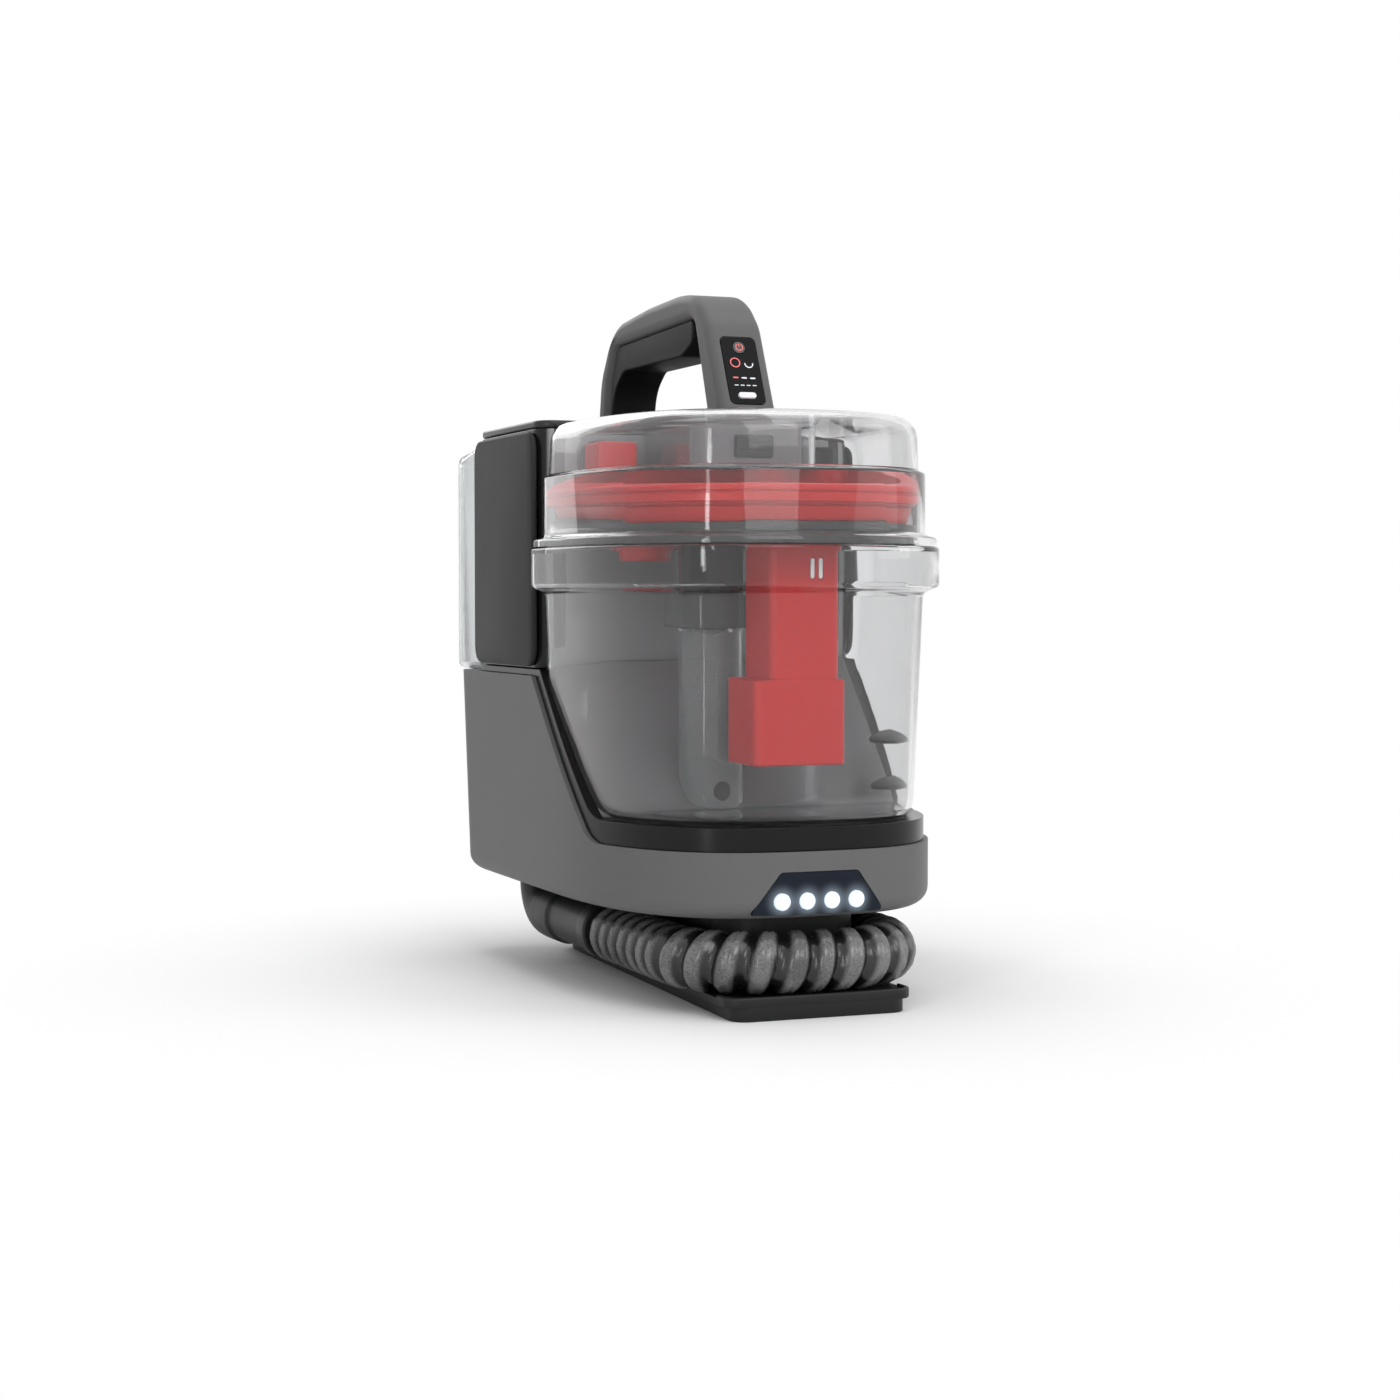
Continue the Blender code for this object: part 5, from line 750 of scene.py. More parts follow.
def makeLightPanel():
    made = lampPanelSlab(0.0, plan["noseY"] - 0.02, plan["noseY"] + 0.02)
    shell = bodySolid([(0.04, 0.0004), (0.09, 0.0004)])
    carve(shell, bodySolid([(0.03, 0.0004 + lamps["thick"]), (0.10, 0.0004 + lamps["thick"])]))
    common(made, shell)
    for x in lampPlaces:
        carve(made, peg((x, plan["noseY"] - 0.02, lamps["z"]), (x, plan["noseY"] + 0.02, lamps["z"]),
                        lamps["radius"] + seam))
    return made


dress(makeLightPanel(), "lightPanel", "machine", lampGlow("lampPanel", (0.006, 0.009, 0.016), 0.42, 0.0120),
      "light_panel", 0.0004, 2, 30)


def lensMaterial():
    paint = Paint("lampLens")
    hot = lampSpots(paint, lamps["radius"], lamps["radius"] * 0.25)
    tone = paint.blendColour(hot, shaded(lamps["colour"], 0.35), (1, 1, 1))
    return paint.finish(paint.surface(Base_Color=(0.6, 0.7, 0.8, 1), Roughness=0.12, Emission_Color=tone,
                                      Emission_Strength=1.6))


lensPaint = lensMaterial()
for number, x in enumerate(lampPlaces):
    back = plan["noseY"] + 0.0092
    front = plan["noseY"]
    radius = lamps["radius"]
    profile = [(0.0, back), (radius, back), (radius, front + 0.0006), (radius * 0.94, front + 0.0001),
               (radius * 0.72, front - 0.0005), (radius * 0.4, front - 0.0009), (0.0, front - 0.0011)]
    dress(turned(profile, (x, 0, lamps["z"]), "Y", 32), "lampLens%d" % (number + 1), "machine", lensPaint,
          "lamp_lens", smooth=50)
print("housing made")


# tower, panels, deck

valve = {"x": 0.030, "z": 0.178, "towerHole": 0.0062, "tankHole": 0.0036}
tower = {"half": 0.0925, "front": -0.0015, "rear": 0.1112, "low": 0.1683, "high": 0.2972, "corner": 0.010,
         "wall": 0.0025, "portX": 0.0575, "portZ": 0.2800, "portRadius": 0.0113}


def towerPaint():
    # black at the sides; painted light makes the face behind the dirty tank grey so that the hazy tank in
    # front reads grey, and painted shade leaves a dark strip near each edge of that face
    paint = Paint("towerBlack")
    back = paint.part(1)
    across = paint.node("ShaderNodeMath", {"operation": "ABSOLUTE"}, {0: paint.part(0)})
    # painted shade: a dark strip near each side of the face
    edgeShade = (across > 0.0770) * (across < 0.0838) * (paint.part(2) > 0.1790)
    # painted light: grey on the face, so that the dirty tank in front of it reads hazy grey
    face = paint.smooth(back, 0.0002, -0.0009) * (1 - edgeShade)
    return twoTone(face, (0.009, 0.009, 0.0095), (0.27, 0.27, 0.274), 0.2)


def makeTower():
    t = tower
    made = brick((-t["half"], t["front"], t["low"]), (t["half"], t["rear"], t["high"]), t["corner"], 0.0006)
    carve(made, brick((-t["half"] + t["wall"], t["front"] + t["wall"], t["low"] - 0.01),
                      (t["half"] - t["wall"], t["rear"] - t["wall"], t["high"] - t["wall"]),
                      t["corner"] - t["wall"]))
    for x in (-t["portX"], t["portX"]):
        carve(made, peg((x, t["front"] - 0.01, t["portZ"]), (x, t["front"] + 0.01, t["portZ"]),
                        t["portRadius"]))
    carve(made, peg((valve["x"], t["rear"] - 0.01, valve["z"]), (valve["x"], t["rear"] + 0.01, valve["z"]),
                    valve["towerHole"]))
    return made


dress(makeTower(), "towerShell", "machine", towerPaint(), "tower_shell", 0.0004, 2, 30, True)

sidePanel = {"front": 0.0007, "rear": 0.1090, "low": 0.1695, "high": 0.2957, "corner": 0.010, "inner": 0.0928,
             "outer": 0.0960}
for side in (-1, 1):
    s = sidePanel
    inner, outer = sorted((side * s["inner"], side * s["outer"]))
    panel = brick((inner, s["front"], s["low"]), (outer, s["rear"], s["high"]), s["corner"], 0.0012, "X")
    name = "left" if side < 0 else "right"
    dress(panel, name + "Panel", "machine", panelGrey, name + "_panel")

deck = {"low": 0.2975, "high": 0.3017, "rear": 0.1250, "bridgeHalf": 0.0310, "bridgeFront": -0.0765,
        "bridgeDepth": 0.0295, "wall": 0.0030}


def makeDeck():
    d = deck
    half, tail = tower["half"], d["bridgeHalf"]
    corners = [(-half, tower["front"]), (half, tower["front"]), (half, tower["rear"]), (tail, tower["rear"]),
               (tail - 0.006, d["rear"]), (-tail + 0.006, d["rear"]), (-tail, tower["rear"]),
               (-half, tower["rear"])]
    made = slab(corners, d["low"], d["high"], "Z", [0.010, 0.010, 0.010, 0.004, 0.006, 0.006, 0.004, 0.010],
                8, 0.0014, 4)
    bottom = d["high"] - d["bridgeDepth"]
    rear = tower["front"] - seam
    arm = [(-tail, d["bridgeFront"]), (tail, d["bridgeFront"]), (tail, rear), (-tail, rear)]
    fuse(made, slab(arm, bottom, d["high"] - 0.0002, "Z", [0.010, 0.010, 0, 0], 8, 0.0012, 3))
    fuse(made, brick((-tail + 0.001, rear - 0.010, d["low"]), (tail - 0.001, 0.0185, d["high"] - 0.0006)))
    carve(made, brick((-tail + d["wall"], d["bridgeFront"] + d["wall"], bottom - 0.01),
                      (tail - d["wall"], rear - d["wall"], d["high"] - 0.006), 0.007))
    carve(made, brick((-0.0108, d["bridgeFront"] - 0.01, 0.2797), (0.0108, d["bridgeFront"] + 0.013, 0.2923),
                      0.0013, axis="Y"))
    return made


def deckTones():
    # dark on top, grey on the arm that reaches over the dirty tank
    paint = Paint("deckTones")
    return twoTone(paint.smooth(paint.part(1), -0.0016, -0.0022), (0.030, 0.030, 0.031), (0.20, 0.20, 0.203))


dress(makeDeck(), "topDeck", "machine", deckTones(), "top_deck", 0.0004, 2, 30, True)
latch = {"half": 0.0105, "low": 0.2800, "high": 0.2920, "front": -0.0790, "rear": -0.0715,
         "grooves": (0.2835, 0.2860, 0.2885), "grooveHalf": 0.0075}
tankLatch = brick((-latch["half"], latch["front"], latch["low"]),
                  (latch["half"], latch["rear"], latch["high"]), 0.0012, 0.0008, "Y")
for z in latch["grooves"]:
    groove = latch["front"] - 0.0002
    carve(tankLatch, peg((-latch["grooveHalf"], groove, z), (latch["grooveHalf"], groove, z), 0.0006, 16))
dress(tankLatch, "tankLatch", "latch", bodyDark, "tank_latch", 0.0002)
print("tower and deck made")


# handle, grip, display

handle = {"half": 0.0160, "edge": 0.0052,
          "outer": [(-0.0735, 0.3020), (-0.0510, 0.3510), (-0.0340, 0.3672), (-0.0080, 0.3708),
                    (0.0420, 0.3690), (0.0980, 0.3640), (0.1190, 0.3350), (0.1245, 0.3020)],
          "inner": [(0.1090, 0.3020), (0.1050, 0.3300), (0.0950, 0.3520), (-0.0300, 0.3560),
                    (-0.0500, 0.3020)],
          "radii": [0, 0.020, 0.034, 0.110, 0.120, 0.034, 0.034, 0, 0, 0.010, 0.008, 0.010, 0]}
faceFoot = Vector((0, -0.0735, 0.3020))
faceAlong = (Vector((0, -0.0510, 0.3510)) - faceFoot).normalized()
faceOut = Vector((0, -faceAlong.z, faceAlong.y))


def facePlace(along, out, across=0.0):
    return faceFoot + faceAlong * along + faceOut * out + Vector((across, 0, 0))


def onFace(made, along=0.0, out=0.0, across=0.0):
    # moves what was built flat at the origin onto the slanted face of the handle
    turn = Matrix((Vector((1, 0, 0)), faceAlong, faceOut)).transposed().to_4x4()
    made.data.transform(Matrix.Translation(facePlace(along, out, across)) @ turn)
    return made


def facePlate(half, start, end, low, high, radius, soft=0.0):
    return onFace(brick((-half, start, low), (half, end, high), radius, soft))


display = {"half": 0.0098, "start": 0.0060, "length": 0.0400, "depth": 0.0014, "corner": 0.0030}
barKey = {"half": 0.0050, "middle": 0.0110, "reach": 0.0017}
roundKey = {"half": 0.0034, "middle": 0.0395, "reach": 0.0034}


def keySlab(key, grow, low, high, soft=0.0):
    return facePlate(key["half"] + grow, key["middle"] - key["reach"] - grow,
                     key["middle"] + key["reach"] + grow, low, high, key["reach"] * 0.96, soft)


def makeHandle():
    h = handle
    made = slab(h["outer"] + h["inner"], -h["half"], h["half"], "X", h["radii"], 12, h["edge"], 5)
    d = display
    carve(made, facePlate(d["half"] + 0.0004, d["start"] - 0.0004, d["start"] + d["length"] + 0.0004,
                          -d["depth"] - 0.0003, 0.01, d["corner"] + 0.0004))
    for key in (barKey, roundKey):
        carve(made, keySlab(key, seam, -0.0053, 0.01))
    return made


dress(makeHandle(), "handleShell", "machine", bodyGrey, "handle_shell", 0.0003, 2, 42)

grip = {"half": 0.0135, "radii": [0, 0.0098, 0.0078, 0.004, 0.006, 0.02, 0.012, 0.02, 0],
        "points": [(0.1087, 0.3035), (0.1047, 0.3297), (0.0947, 0.3517), (-0.0260, 0.3556), (-0.0240, 0.3430),
                   (-0.0080, 0.3372), (0.0840, 0.3372), (0.0995, 0.3270), (0.1060, 0.3035)]}
dress(slab(grip["points"], -grip["half"], grip["half"], "X", grip["radii"], 10, 0.0034, 5), "handleGrip",
      "machine", gripRubber, "handle_grip", smooth=45)


def displayGlass():
    paint = Paint("displayGlass")
    smear = paint.noise(55, 4, None, 0.6)
    tone = paint.blendColour(smear, (0.004, 0.004, 0.005), (0.009, 0.009, 0.010))
    return paint.finish(paint.surface(Base_Color=tone, Roughness=smear * 0.10 + 0.06, Specular_IOR_Level=0.16,
                                      Coat_Weight=0.06, Coat_Roughness=0.04))


def iconLight(name, colour, strength):
    paint = Paint(name)
    tone = paint.blendColour(paint.noise(700), shaded(colour, 0.7), colour)
    return paint.finish(paint.surface(Base_Color=tone, Roughness=0.4, Emission_Color=tone,
                                      Emission_Strength=strength))


panel = facePlate(display["half"], display["start"], display["start"] + display["length"], -display["depth"],
                  0.0002, display["corner"], 0.0003)
for key in (barKey, roundKey):
    carve(panel, keySlab(key, seam, -0.01, 0.01))
dress(panel, "displayPanel", "machine", displayGlass(), "display_panel", 0.0001)
dress(keySlab(barKey, 0.0, -0.0040, 0.0010, 0.0004), "modeKey", "mode_button", keyWhite, "mode_key")
dress(keySlab(roundKey, 0.0, -0.0040, 0.0008, 0.0004), "powerKey", "power_button", partsGrey,
      "power_key")
redIcon = iconLight("redIcon", (0.75, 0.16, 0.16), 0.5)
paleIcon = iconLight("paleIcon", (0.72, 0.74, 0.78), 0.45)


def ringMark(name, along, across, radius, thick, sweep, paint, body="machine", out=0.0003):
    # flat printed arc: a short edge spun round its centre
    build = bmesh.new()
    spots = [build.verts.new((radius - thick / 2, 0, 0)), build.verts.new((radius + thick / 2, 0, 0))]
    edge = build.edges.new(spots)
    bmesh.ops.rotate(build, verts=spots, cent=(0, 0, 0),
                     matrix=Matrix.Rotation(math.pi / 2 + (2 * math.pi - sweep) / 2, 3, "Z"))
    bmesh.ops.spin(build, geom=spots + [edge], cent=(0, 0, 0), axis=(0, 0, 1), angle=sweep, steps=24,
                   use_merge=sweep > 6.28)
    grown = bmesh.ops.extrude_face_region(build, geom=build.faces[:])["geom"]
    bmesh.ops.translate(build, vec=(0, 0, 0.00012),
                        verts=[g for g in grown if isinstance(g, bmesh.types.BMVert)])
    return dress(onFace(toObject(build, name), along, out, across), name, body, paint)


def barMark(name, along, across, length, thick, paint, body="machine", out=0.0003, tilt=0.0):
    made = brick((-length / 2, -thick / 2, 0), (length / 2, thick / 2, 0.00012), thick * 0.45)
    made.data.transform(Matrix.Rotation(tilt, 4, "Z"))
    return dress(onFace(made, along, out, across), name, body, paint)


ringMark("powerArc", roundKey["middle"], 0.0, 0.0019, 0.0005, 5.2, redIcon, "power_button", 0.0009)
barMark("powerStroke", roundKey["middle"] + 0.0014, 0.0, 0.0019, 0.0005, redIcon, "power_button", 0.0009,
        math.pi / 2)
ringMark("dialArc", 0.0305, -0.0036, 0.0026, 0.0006, 6.2832, redIcon)
ringMark("sprayArc", 0.0300, 0.0040, 0.0022, 0.0006, 3.4, paleIcon)
for k in range(3):
    barMark("levelBar%d" % (k + 1), 0.0215 - 0.0001 * k, -0.0048 + 0.0048 * k, 0.0030, 0.0008,
            redIcon if k == 0 else paleIcon)
for k in range(4):
    barMark("gaugeBar%d" % (k + 1), 0.0170, -0.0051 + 0.0034 * k, 0.0022, 0.0005, paleIcon)
print("handle made")


# dirty tank

tank = {"rear": -0.0040, "corner": 0.0120, "wall": 0.0024, "collarLow": 0.2075, "shelf": 0.0125}


def makeBucket():
    outer = [(0.0924, 0.0130), (0.0934, 0.0115), (0.0954, 0.0096), (0.0974, 0.0081), (0.0999, 0.0071),
             (0.1044, 0.0068), (0.2068, 0.0028), (0.2078, 0.0025), (0.2090, 0.0016), (0.2102, -0.0004),
             (0.2110, -0.0026), (0.2119, -0.0042), (0.2132, -0.0050), (0.2310, -0.0050), (0.2320, -0.0047),
             (0.2325, -0.0040)]
    inner = [(0.0934, 0.0132), (0.0964, 0.0112), (0.1004, 0.0096), (0.1044, 0.0092), (0.2080, 0.0052),
             (0.2100, 0.0042), (0.2122, -0.0004), (0.2135, -0.0022), (0.2150, -0.0026), (0.2295, -0.0026)]
    t = tank
    made = bodySolid(outer, t["rear"], t["corner"])
    carve(made, belowCradle(0.0, 0.0, cradle["fillet"]))
    hollow = bodySolid(inner, t["rear"] - t["wall"], t["corner"] - t["wall"])
    carve(hollow, belowCradle(-t["wall"], -t["wall"], cradle["fillet"] - t["wall"]))
    carve(made, hollow, bodySolid([(0.2255, t["shelf"]), (0.2425, t["shelf"])], t["rear"] - 0.0075, 0.008))
    return made


dress(makeBucket(), "tankBucket", "dirty_tank", tankClear, "tank_bucket", smooth=40)

lid = {"bottom": 0.2333, "ledge": 0.2700, "top": 0.2997, "wall": 0.0022, "notchHalf": 0.0335,
       "notchFront": -0.0850, "notchFloor": 0.2705}


def makeLid():
    low, ledge, top, wall = lid["bottom"], lid["ledge"], lid["top"], lid["wall"]
    outer = [(low, -0.0038), (low + 0.0030, -0.0038), (low + 0.0038, -0.0032), (low + 0.0044, -0.0012),
             (low + 0.0052, 0.0010), (low + 0.0062, 0.0018), (ledge - 0.0006, 0.0018),
             (ledge + 0.0004, 0.0024), (ledge + 0.0010, 0.0040), (ledge + 0.0020, 0.0050),
             (top - 0.0110, 0.0058), (top - 0.0072, 0.0066), (top - 0.0042, 0.0083), (top - 0.0020, 0.0106),
             (top - 0.0006, 0.0138), (top, 0.0175)]
    inner = [(low - 0.01, 0.0018 + wall), (ledge - 0.0010, 0.0018 + wall), (ledge + 0.0010, 0.0050 + wall),
             (top - 0.0110, 0.0060 + wall), (top - 0.0072, 0.0072 + wall), (top - 0.0045, 0.0096 + wall),
             (top - 0.0030, 0.0122 + wall), (top - wall, 0.0165 + wall)]
    made = bodySolid(outer, tank["rear"], tank["corner"])
    half, front = lid["notchHalf"], lid["notchFront"]
    corners = [(-half, front), (half, front), (half, 0.05), (-half, 0.05)]
    carve(made, slab(corners, lid["notchFloor"], top + 0.02, "Z", [0.012, 0.012, 0, 0], 10))
    hollow = bodySolid(inner, tank["rear"] - wall, tank["corner"] - wall)
    corners = [(-half - wall, front - wall), (half + wall, front - wall), (half + wall, 0.05),
               (-half - wall, 0.05)]
    carve(hollow, slab(corners, lid["notchFloor"] - wall, top + 0.02, "Z", [0.014, 0.014, 0, 0], 10))
    carve(made, hollow)
    for x in (-tower["portX"], tower["portX"]):
        carve(made, peg((x, tank["rear"] - 0.01, tower["portZ"]), (x, tank["rear"] + 0.01, tower["portZ"]),
                        0.0070))
    return made


dress(makeLid(), "tankLid", "dirty_tank", lidClear, "tank_lid", smooth=40)


def bodyRing(outer, innerInset, rear, innerRear, corner, innerCorner):
    made = bodySolid(outer, rear, corner)
    low, high = outer[0][0] - 0.01, outer[-1][0] + 0.01
    return carve(made, bodySolid([(low, innerInset), (high, innerInset)], innerRear, innerCorner))


sealShape = [(0.2328, 0.0066), (0.2335, 0.0062), (0.2362, 0.0062), (0.2368, 0.0074), (0.2392, 0.0074),
             (0.2398, 0.0062), (0.2428, 0.0062), (0.2433, 0.0066)]
dress(bodyRing(sealShape, 0.0112, -0.0080, -0.0115, 0.010, 0.007), "tankSeal", "dirty_tank", sealRubber,
      "tank_seal", smooth=28)

ring = {"low": 0.2436, "high": 0.2619, "flange": 0.0046, "width": 0.0100, "web": 0.0025, "rear": -0.0068}
funnel = {"x": -0.0440, "y": -0.0330, "top": 0.2433, "radius": 0.0190, "bore": 0.0085, "depth": 0.0190}
duct = {"x": 0.0042, "y": -0.1170, "halfX": 0.0189, "halfY": 0.0180, "footX": 0.0012, "footHalfX": 0.0250,
        "footHalfY": 0.0192, "footTop": 0.1650, "footLow": 0.1222, "wall": 0.0020, "corner": 0.0040}
pipe = {"x": -0.0215, "y": -0.0710, "radius": 0.0168, "wall": 0.0018, "top": 0.1890, "collar": 0.0240,
        "collarTop": 0.2120}


def ductBlock(grow, low, high, foot=False, soft=0.0):
    halfX = (duct["footHalfX"] if foot else duct["halfX"]) + grow
    halfY = (duct["footHalfY"] if foot else duct["halfY"]) + grow
    x = duct["footX"] if foot else duct["x"]
    return brick((x - halfX, duct["y"] - halfY, low), (x + halfX, duct["y"] + halfY, high),
                 duct["corner"] + grow / 2, soft)


def makeRing():
    r = ring
    f = r["flange"]
    outer = [(r["low"], 0.0108), (r["low"] + 0.0006, 0.0103), (r["low"] + 0.0072, 0.0083),
             (r["low"] + 0.0080, 0.0074), (r["low"] + 0.0086, 0.0062), (r["low"] + 0.0096, 0.0058),
             (r["low"] + 0.0100, f), (r["low"] + 0.0138, f), (r["low"] + 0.0142, f + 0.0012),
             (r["low"] + 0.0150, f + 0.0012), (r["low"] + 0.0154, f), (r["high"] - 0.0008, f),
             (r["high"], f + 0.0008)]
    made = bodySolid(outer, r["rear"], 0.009)
    carve(made, bodySolid([(r["low"] + r["web"], f + r["width"]), (r["high"] + 0.01, f + r["width"] - 0.002)],
                          r["rear"] - 0.004, 0.008), ductBlock(-duct["wall"], r["low"] - 0.01, r["high"]))
    fuse(made, brick((0.030, -0.128, r["low"] - 0.0125), (0.051, -0.108, r["low"] + 0.001), 0.0015))
    carve(made, peg((pipe["x"], pipe["y"], r["low"] - 0.01), (pipe["x"], pipe["y"], r["high"]), 0.0100),
          peg((funnel["x"], funnel["y"], r["low"] - 0.01), (funnel["x"], funnel["y"], r["high"]),
              funnel["bore"]))
    return made


dress(makeRing(), "separatorRing", "dirty_tank", separatorRed, "separator_ring", 0.0003, 2, 28)

redDuct = ductBlock(0.0, duct["footLow"], duct["footTop"], True, 0.0008)
fuse(redDuct, ductBlock(0.0, duct["footTop"] - 0.006, 0.2433))
carve(redDuct, ductBlock(-duct["wall"], duct["footLow"] - 0.01, duct["footTop"] - 0.0035, True),
      ductBlock(-duct["wall"], duct["footTop"] - 0.006, 0.26))
# two slots cut in the duct's front, each holding a white insert painted as a highlight
highlightSlots = {"places": (0.0065, 0.0110), "width": 0.0024, "low": 0.2172, "high": 0.2258, "gap": 0.0002}
ductFront = duct["y"] - duct["halfY"]
for x in highlightSlots["places"]:
    carve(redDuct,
          brick((x, duct["y"] - 0.03, highlightSlots["low"]), (x + highlightSlots["width"], ductFront + 0.0009, highlightSlots["high"]),
                0.0010, axis="Y"))
dress(redDuct, "separatorDuct", "dirty_tank", separatorRed, "separator_duct", 0.0004, 2, 32)
# painted highlight: a white insert in each slot, for the bright light seen there
for number, x in enumerate(highlightSlots["places"]):
    gap = highlightSlots["gap"]
    slotHighlight = brick((x + gap, ductFront - gap, highlightSlots["low"] + gap),
                 (x + highlightSlots["width"] - gap, ductFront + 0.0008, highlightSlots["high"] - gap), 0.0008, 0.0002, "Y")
    dress(slotHighlight, "ductSlotHighlight%d" % (number + 1), "dirty_tank", keyWhite)


def makePipe():
    inner = pipe["radius"] - pipe["wall"]
    top = pipe["top"]
    profile = [(inner, 0.0944), (pipe["radius"], 0.0944), (pipe["radius"], top - 0.0005),
               (pipe["radius"] - 0.0005, top), (0.0095, top), (0.0095, top - 0.002), (inner, top - 0.002)]
    made = turned(profile, (pipe["x"], pipe["y"], 0), "Z", 50)
    carve(made, belowCradle(-0.0027, -0.0027, cradle["fillet"] - 0.0027))
    foot = Vector((pipe["x"], pipe["y"], 0.1064))
    carve(made, peg(foot, foot - Vector((0, 0.03, 0)), 0.0050))
    return made


dress(makePipe(), "standpipeTube", "dirty_tank", pipeClear, "standpipe")


def makeCage():
    inner = pipe["radius"] - 0.0022
    low, high = pipe["top"] + 0.0003, 0.2433
    collar, top = pipe["collar"], pipe["collarTop"]
    profile = [(inner, low), (collar - 0.0006, low), (collar, low + 0.0006), (collar, top - 0.0006),
               (collar - 0.0006, top), (pipe["radius"] + 0.0006, top + 0.0006), (pipe["radius"], top + 0.002),
               (pipe["radius"], high), (inner, high)]
    made = turned(profile, (pipe["x"], pipe["y"], 0), "Z", 56)
    centre = Vector((pipe["x"], pipe["y"]))
    for k in range(2):
        angle = math.pi / 4 + math.pi / 2 * k
        way = Vector((math.cos(angle), math.sin(angle))) * 0.03
        across = Vector((-way.y, way.x)) * 0.17
        corners = [tuple(centre + way + across), tuple(centre - way + across), tuple(centre - way - across),
                   tuple(centre + way - across)]
        carve(made, slab(corners, top + 0.004, high - 0.005))
    return made


dress(makeCage(), "floatCage", "dirty_tank", cageClear, "float_cage")
ball = bmesh.new()
ballSize = {"radius": 0.0125, "seatRadius": 0.0095, "seatZ": 0.18930}
bmesh.ops.create_uvsphere(ball, u_segments=40, v_segments=24, radius=ballSize["radius"])
bmesh.ops.bevel(ball,
                geom=[e for e in ball.edges if abs(e.verts[0].co.z) < 1e-6 and abs(e.verts[1].co.z) < 1e-6],
                offset=0.0003, segments=2, profile=0.2, affect="EDGES", material=-1)
ballZ = ballSize["seatZ"] + math.sqrt(ballSize["radius"] ** 2 - ballSize["seatRadius"] ** 2)
bmesh.ops.translate(ball, vec=(pipe["x"], pipe["y"], ballZ), verts=ball.verts)
dress(toObject(ball, "floatBall"), "floatBall", "float", partsGrey, "float_ball", smooth=50)

top, radius, end = funnel["top"], funnel["radius"], funnel["top"] - funnel["depth"]
funnelProfile = [(funnel["bore"], top), (radius - 0.0004, top), (radius, top - 0.0004),
                 (radius, top - 0.0020), (radius - 0.0006, top - 0.0026), (0.0175, top - 0.0080),
                 (0.0136, end + 0.0010), (0.0130, end), (0.0100, end)]
dress(turned(funnelProfile, (funnel["x"], funnel["y"], 0), "Z", 48), "inletFunnel", "dirty_tank",
      separatorRed, "inlet_funnel", 0.0002, 2, 30)


elbow = {"half": 0.0105, "front": -0.0300, "port": 0.0070, "portEnd": -0.0240, "wellHalf": 0.0065,
         "wellFront": -0.0255}


def makeElbow(side):
    e = elbow
    rear = tank["rear"] - lid["wall"] - seam
    x, z = side * tower["portX"], tower["portZ"]
    made = brick((x - e["half"], e["front"], ring["high"] + seam), (x + e["half"], rear, z + e["half"]),
                 0.0022, 0.0012, "Y")
    carve(made, peg((x, e["portEnd"], z), (x, rear + 0.01, z), e["port"]))
    carve(made, brick((x - e["wellHalf"], e["wellFront"], 0.25), (x + e["wellHalf"], rear - 0.0055, z),
                      0.001))
    return made


dress(makeElbow(-1), "inletElbow", "dirty_tank", separatorRed, "inlet_elbow", 0.0003, 2, 32)
dress(makeElbow(1), "outletElbow", "dirty_tank", bodyDark, "outlet_elbow", 0.0003, 2, 32)

# each fin: height, front and rear end
fins = {"upper": (0.1330, -0.115, -0.070), "lower": (0.1100, -0.118, -0.080), "thick": 0.0018, "reach": 0.020,
        "steps": 14, "tilt": 0.12}


def makeFin(z, start, end):
    # follows the bucket's wall, which leans in from the collar down to 104.4 mm
    share = (z - 0.1044) / (tank["collarLow"] - 0.1044)
    inset = 0.0068 - 0.0040 * share + tank["wall"] + 0.0004
    half, length = plan["half"] - inset, plan["noseLength"] - inset
    flank = plan["noseY"] + plan["noseLength"]
    steps = fins["steps"]
    outer, inner = [], []
    for k in range(steps + 1):
        y = start + (end - start) * k / steps
        wall = half * (1 - min(1.0, abs(y - flank) / length) ** plan["nosePower"]) ** (1 / plan["nosePower"])
        outer.append((wall, y))
        inner.append((wall - fins["reach"] * math.sin(math.pi * (0.12 + 0.76 * k / steps)), y))
    made = slab(outer + inner[::-1], z, z + fins["thick"], "Z", 0, 1, 0.0005, 2)
    for spot in made.data.vertices:
        spot.co.z -= fins["tilt"] * (0.09 - spot.co.x)
    return made


for level in ("upper", "lower"):
    dress(makeFin(*fins[level]), level + "Fin", "dirty_tank", finGrey, level + "_splash_fin")
print("dirty tank made")


# clean tank, cap, valve

clean = {"front": 0.1125, "rear": 0.1630, "half": 0.0905, "low": 0.1648, "topFront": 0.2968,
         "topRear": 0.2870, "wall": 0.0024, "capX": 0.0450, "capY": 0.1440, "capLow": 0.2988,
         "hingeY": 0.0160, "hingeZ": 0.2997}


def cleanSlab(inset, half, radius, soft, steps):
    c = clean
    low = c["low"] + inset
    corners = [(c["front"] + inset, low), (c["rear"] - inset, low), (c["rear"] - inset, c["topRear"] - inset),
               (c["rear"] - 0.0050 - inset * 0.6, c["topRear"] + 0.0035 - inset),
               (c["front"] + inset, c["topFront"] - inset)]
    return slab(corners, -half, half, "X", [radius, radius, radius, radius, radius], 5, soft, steps)


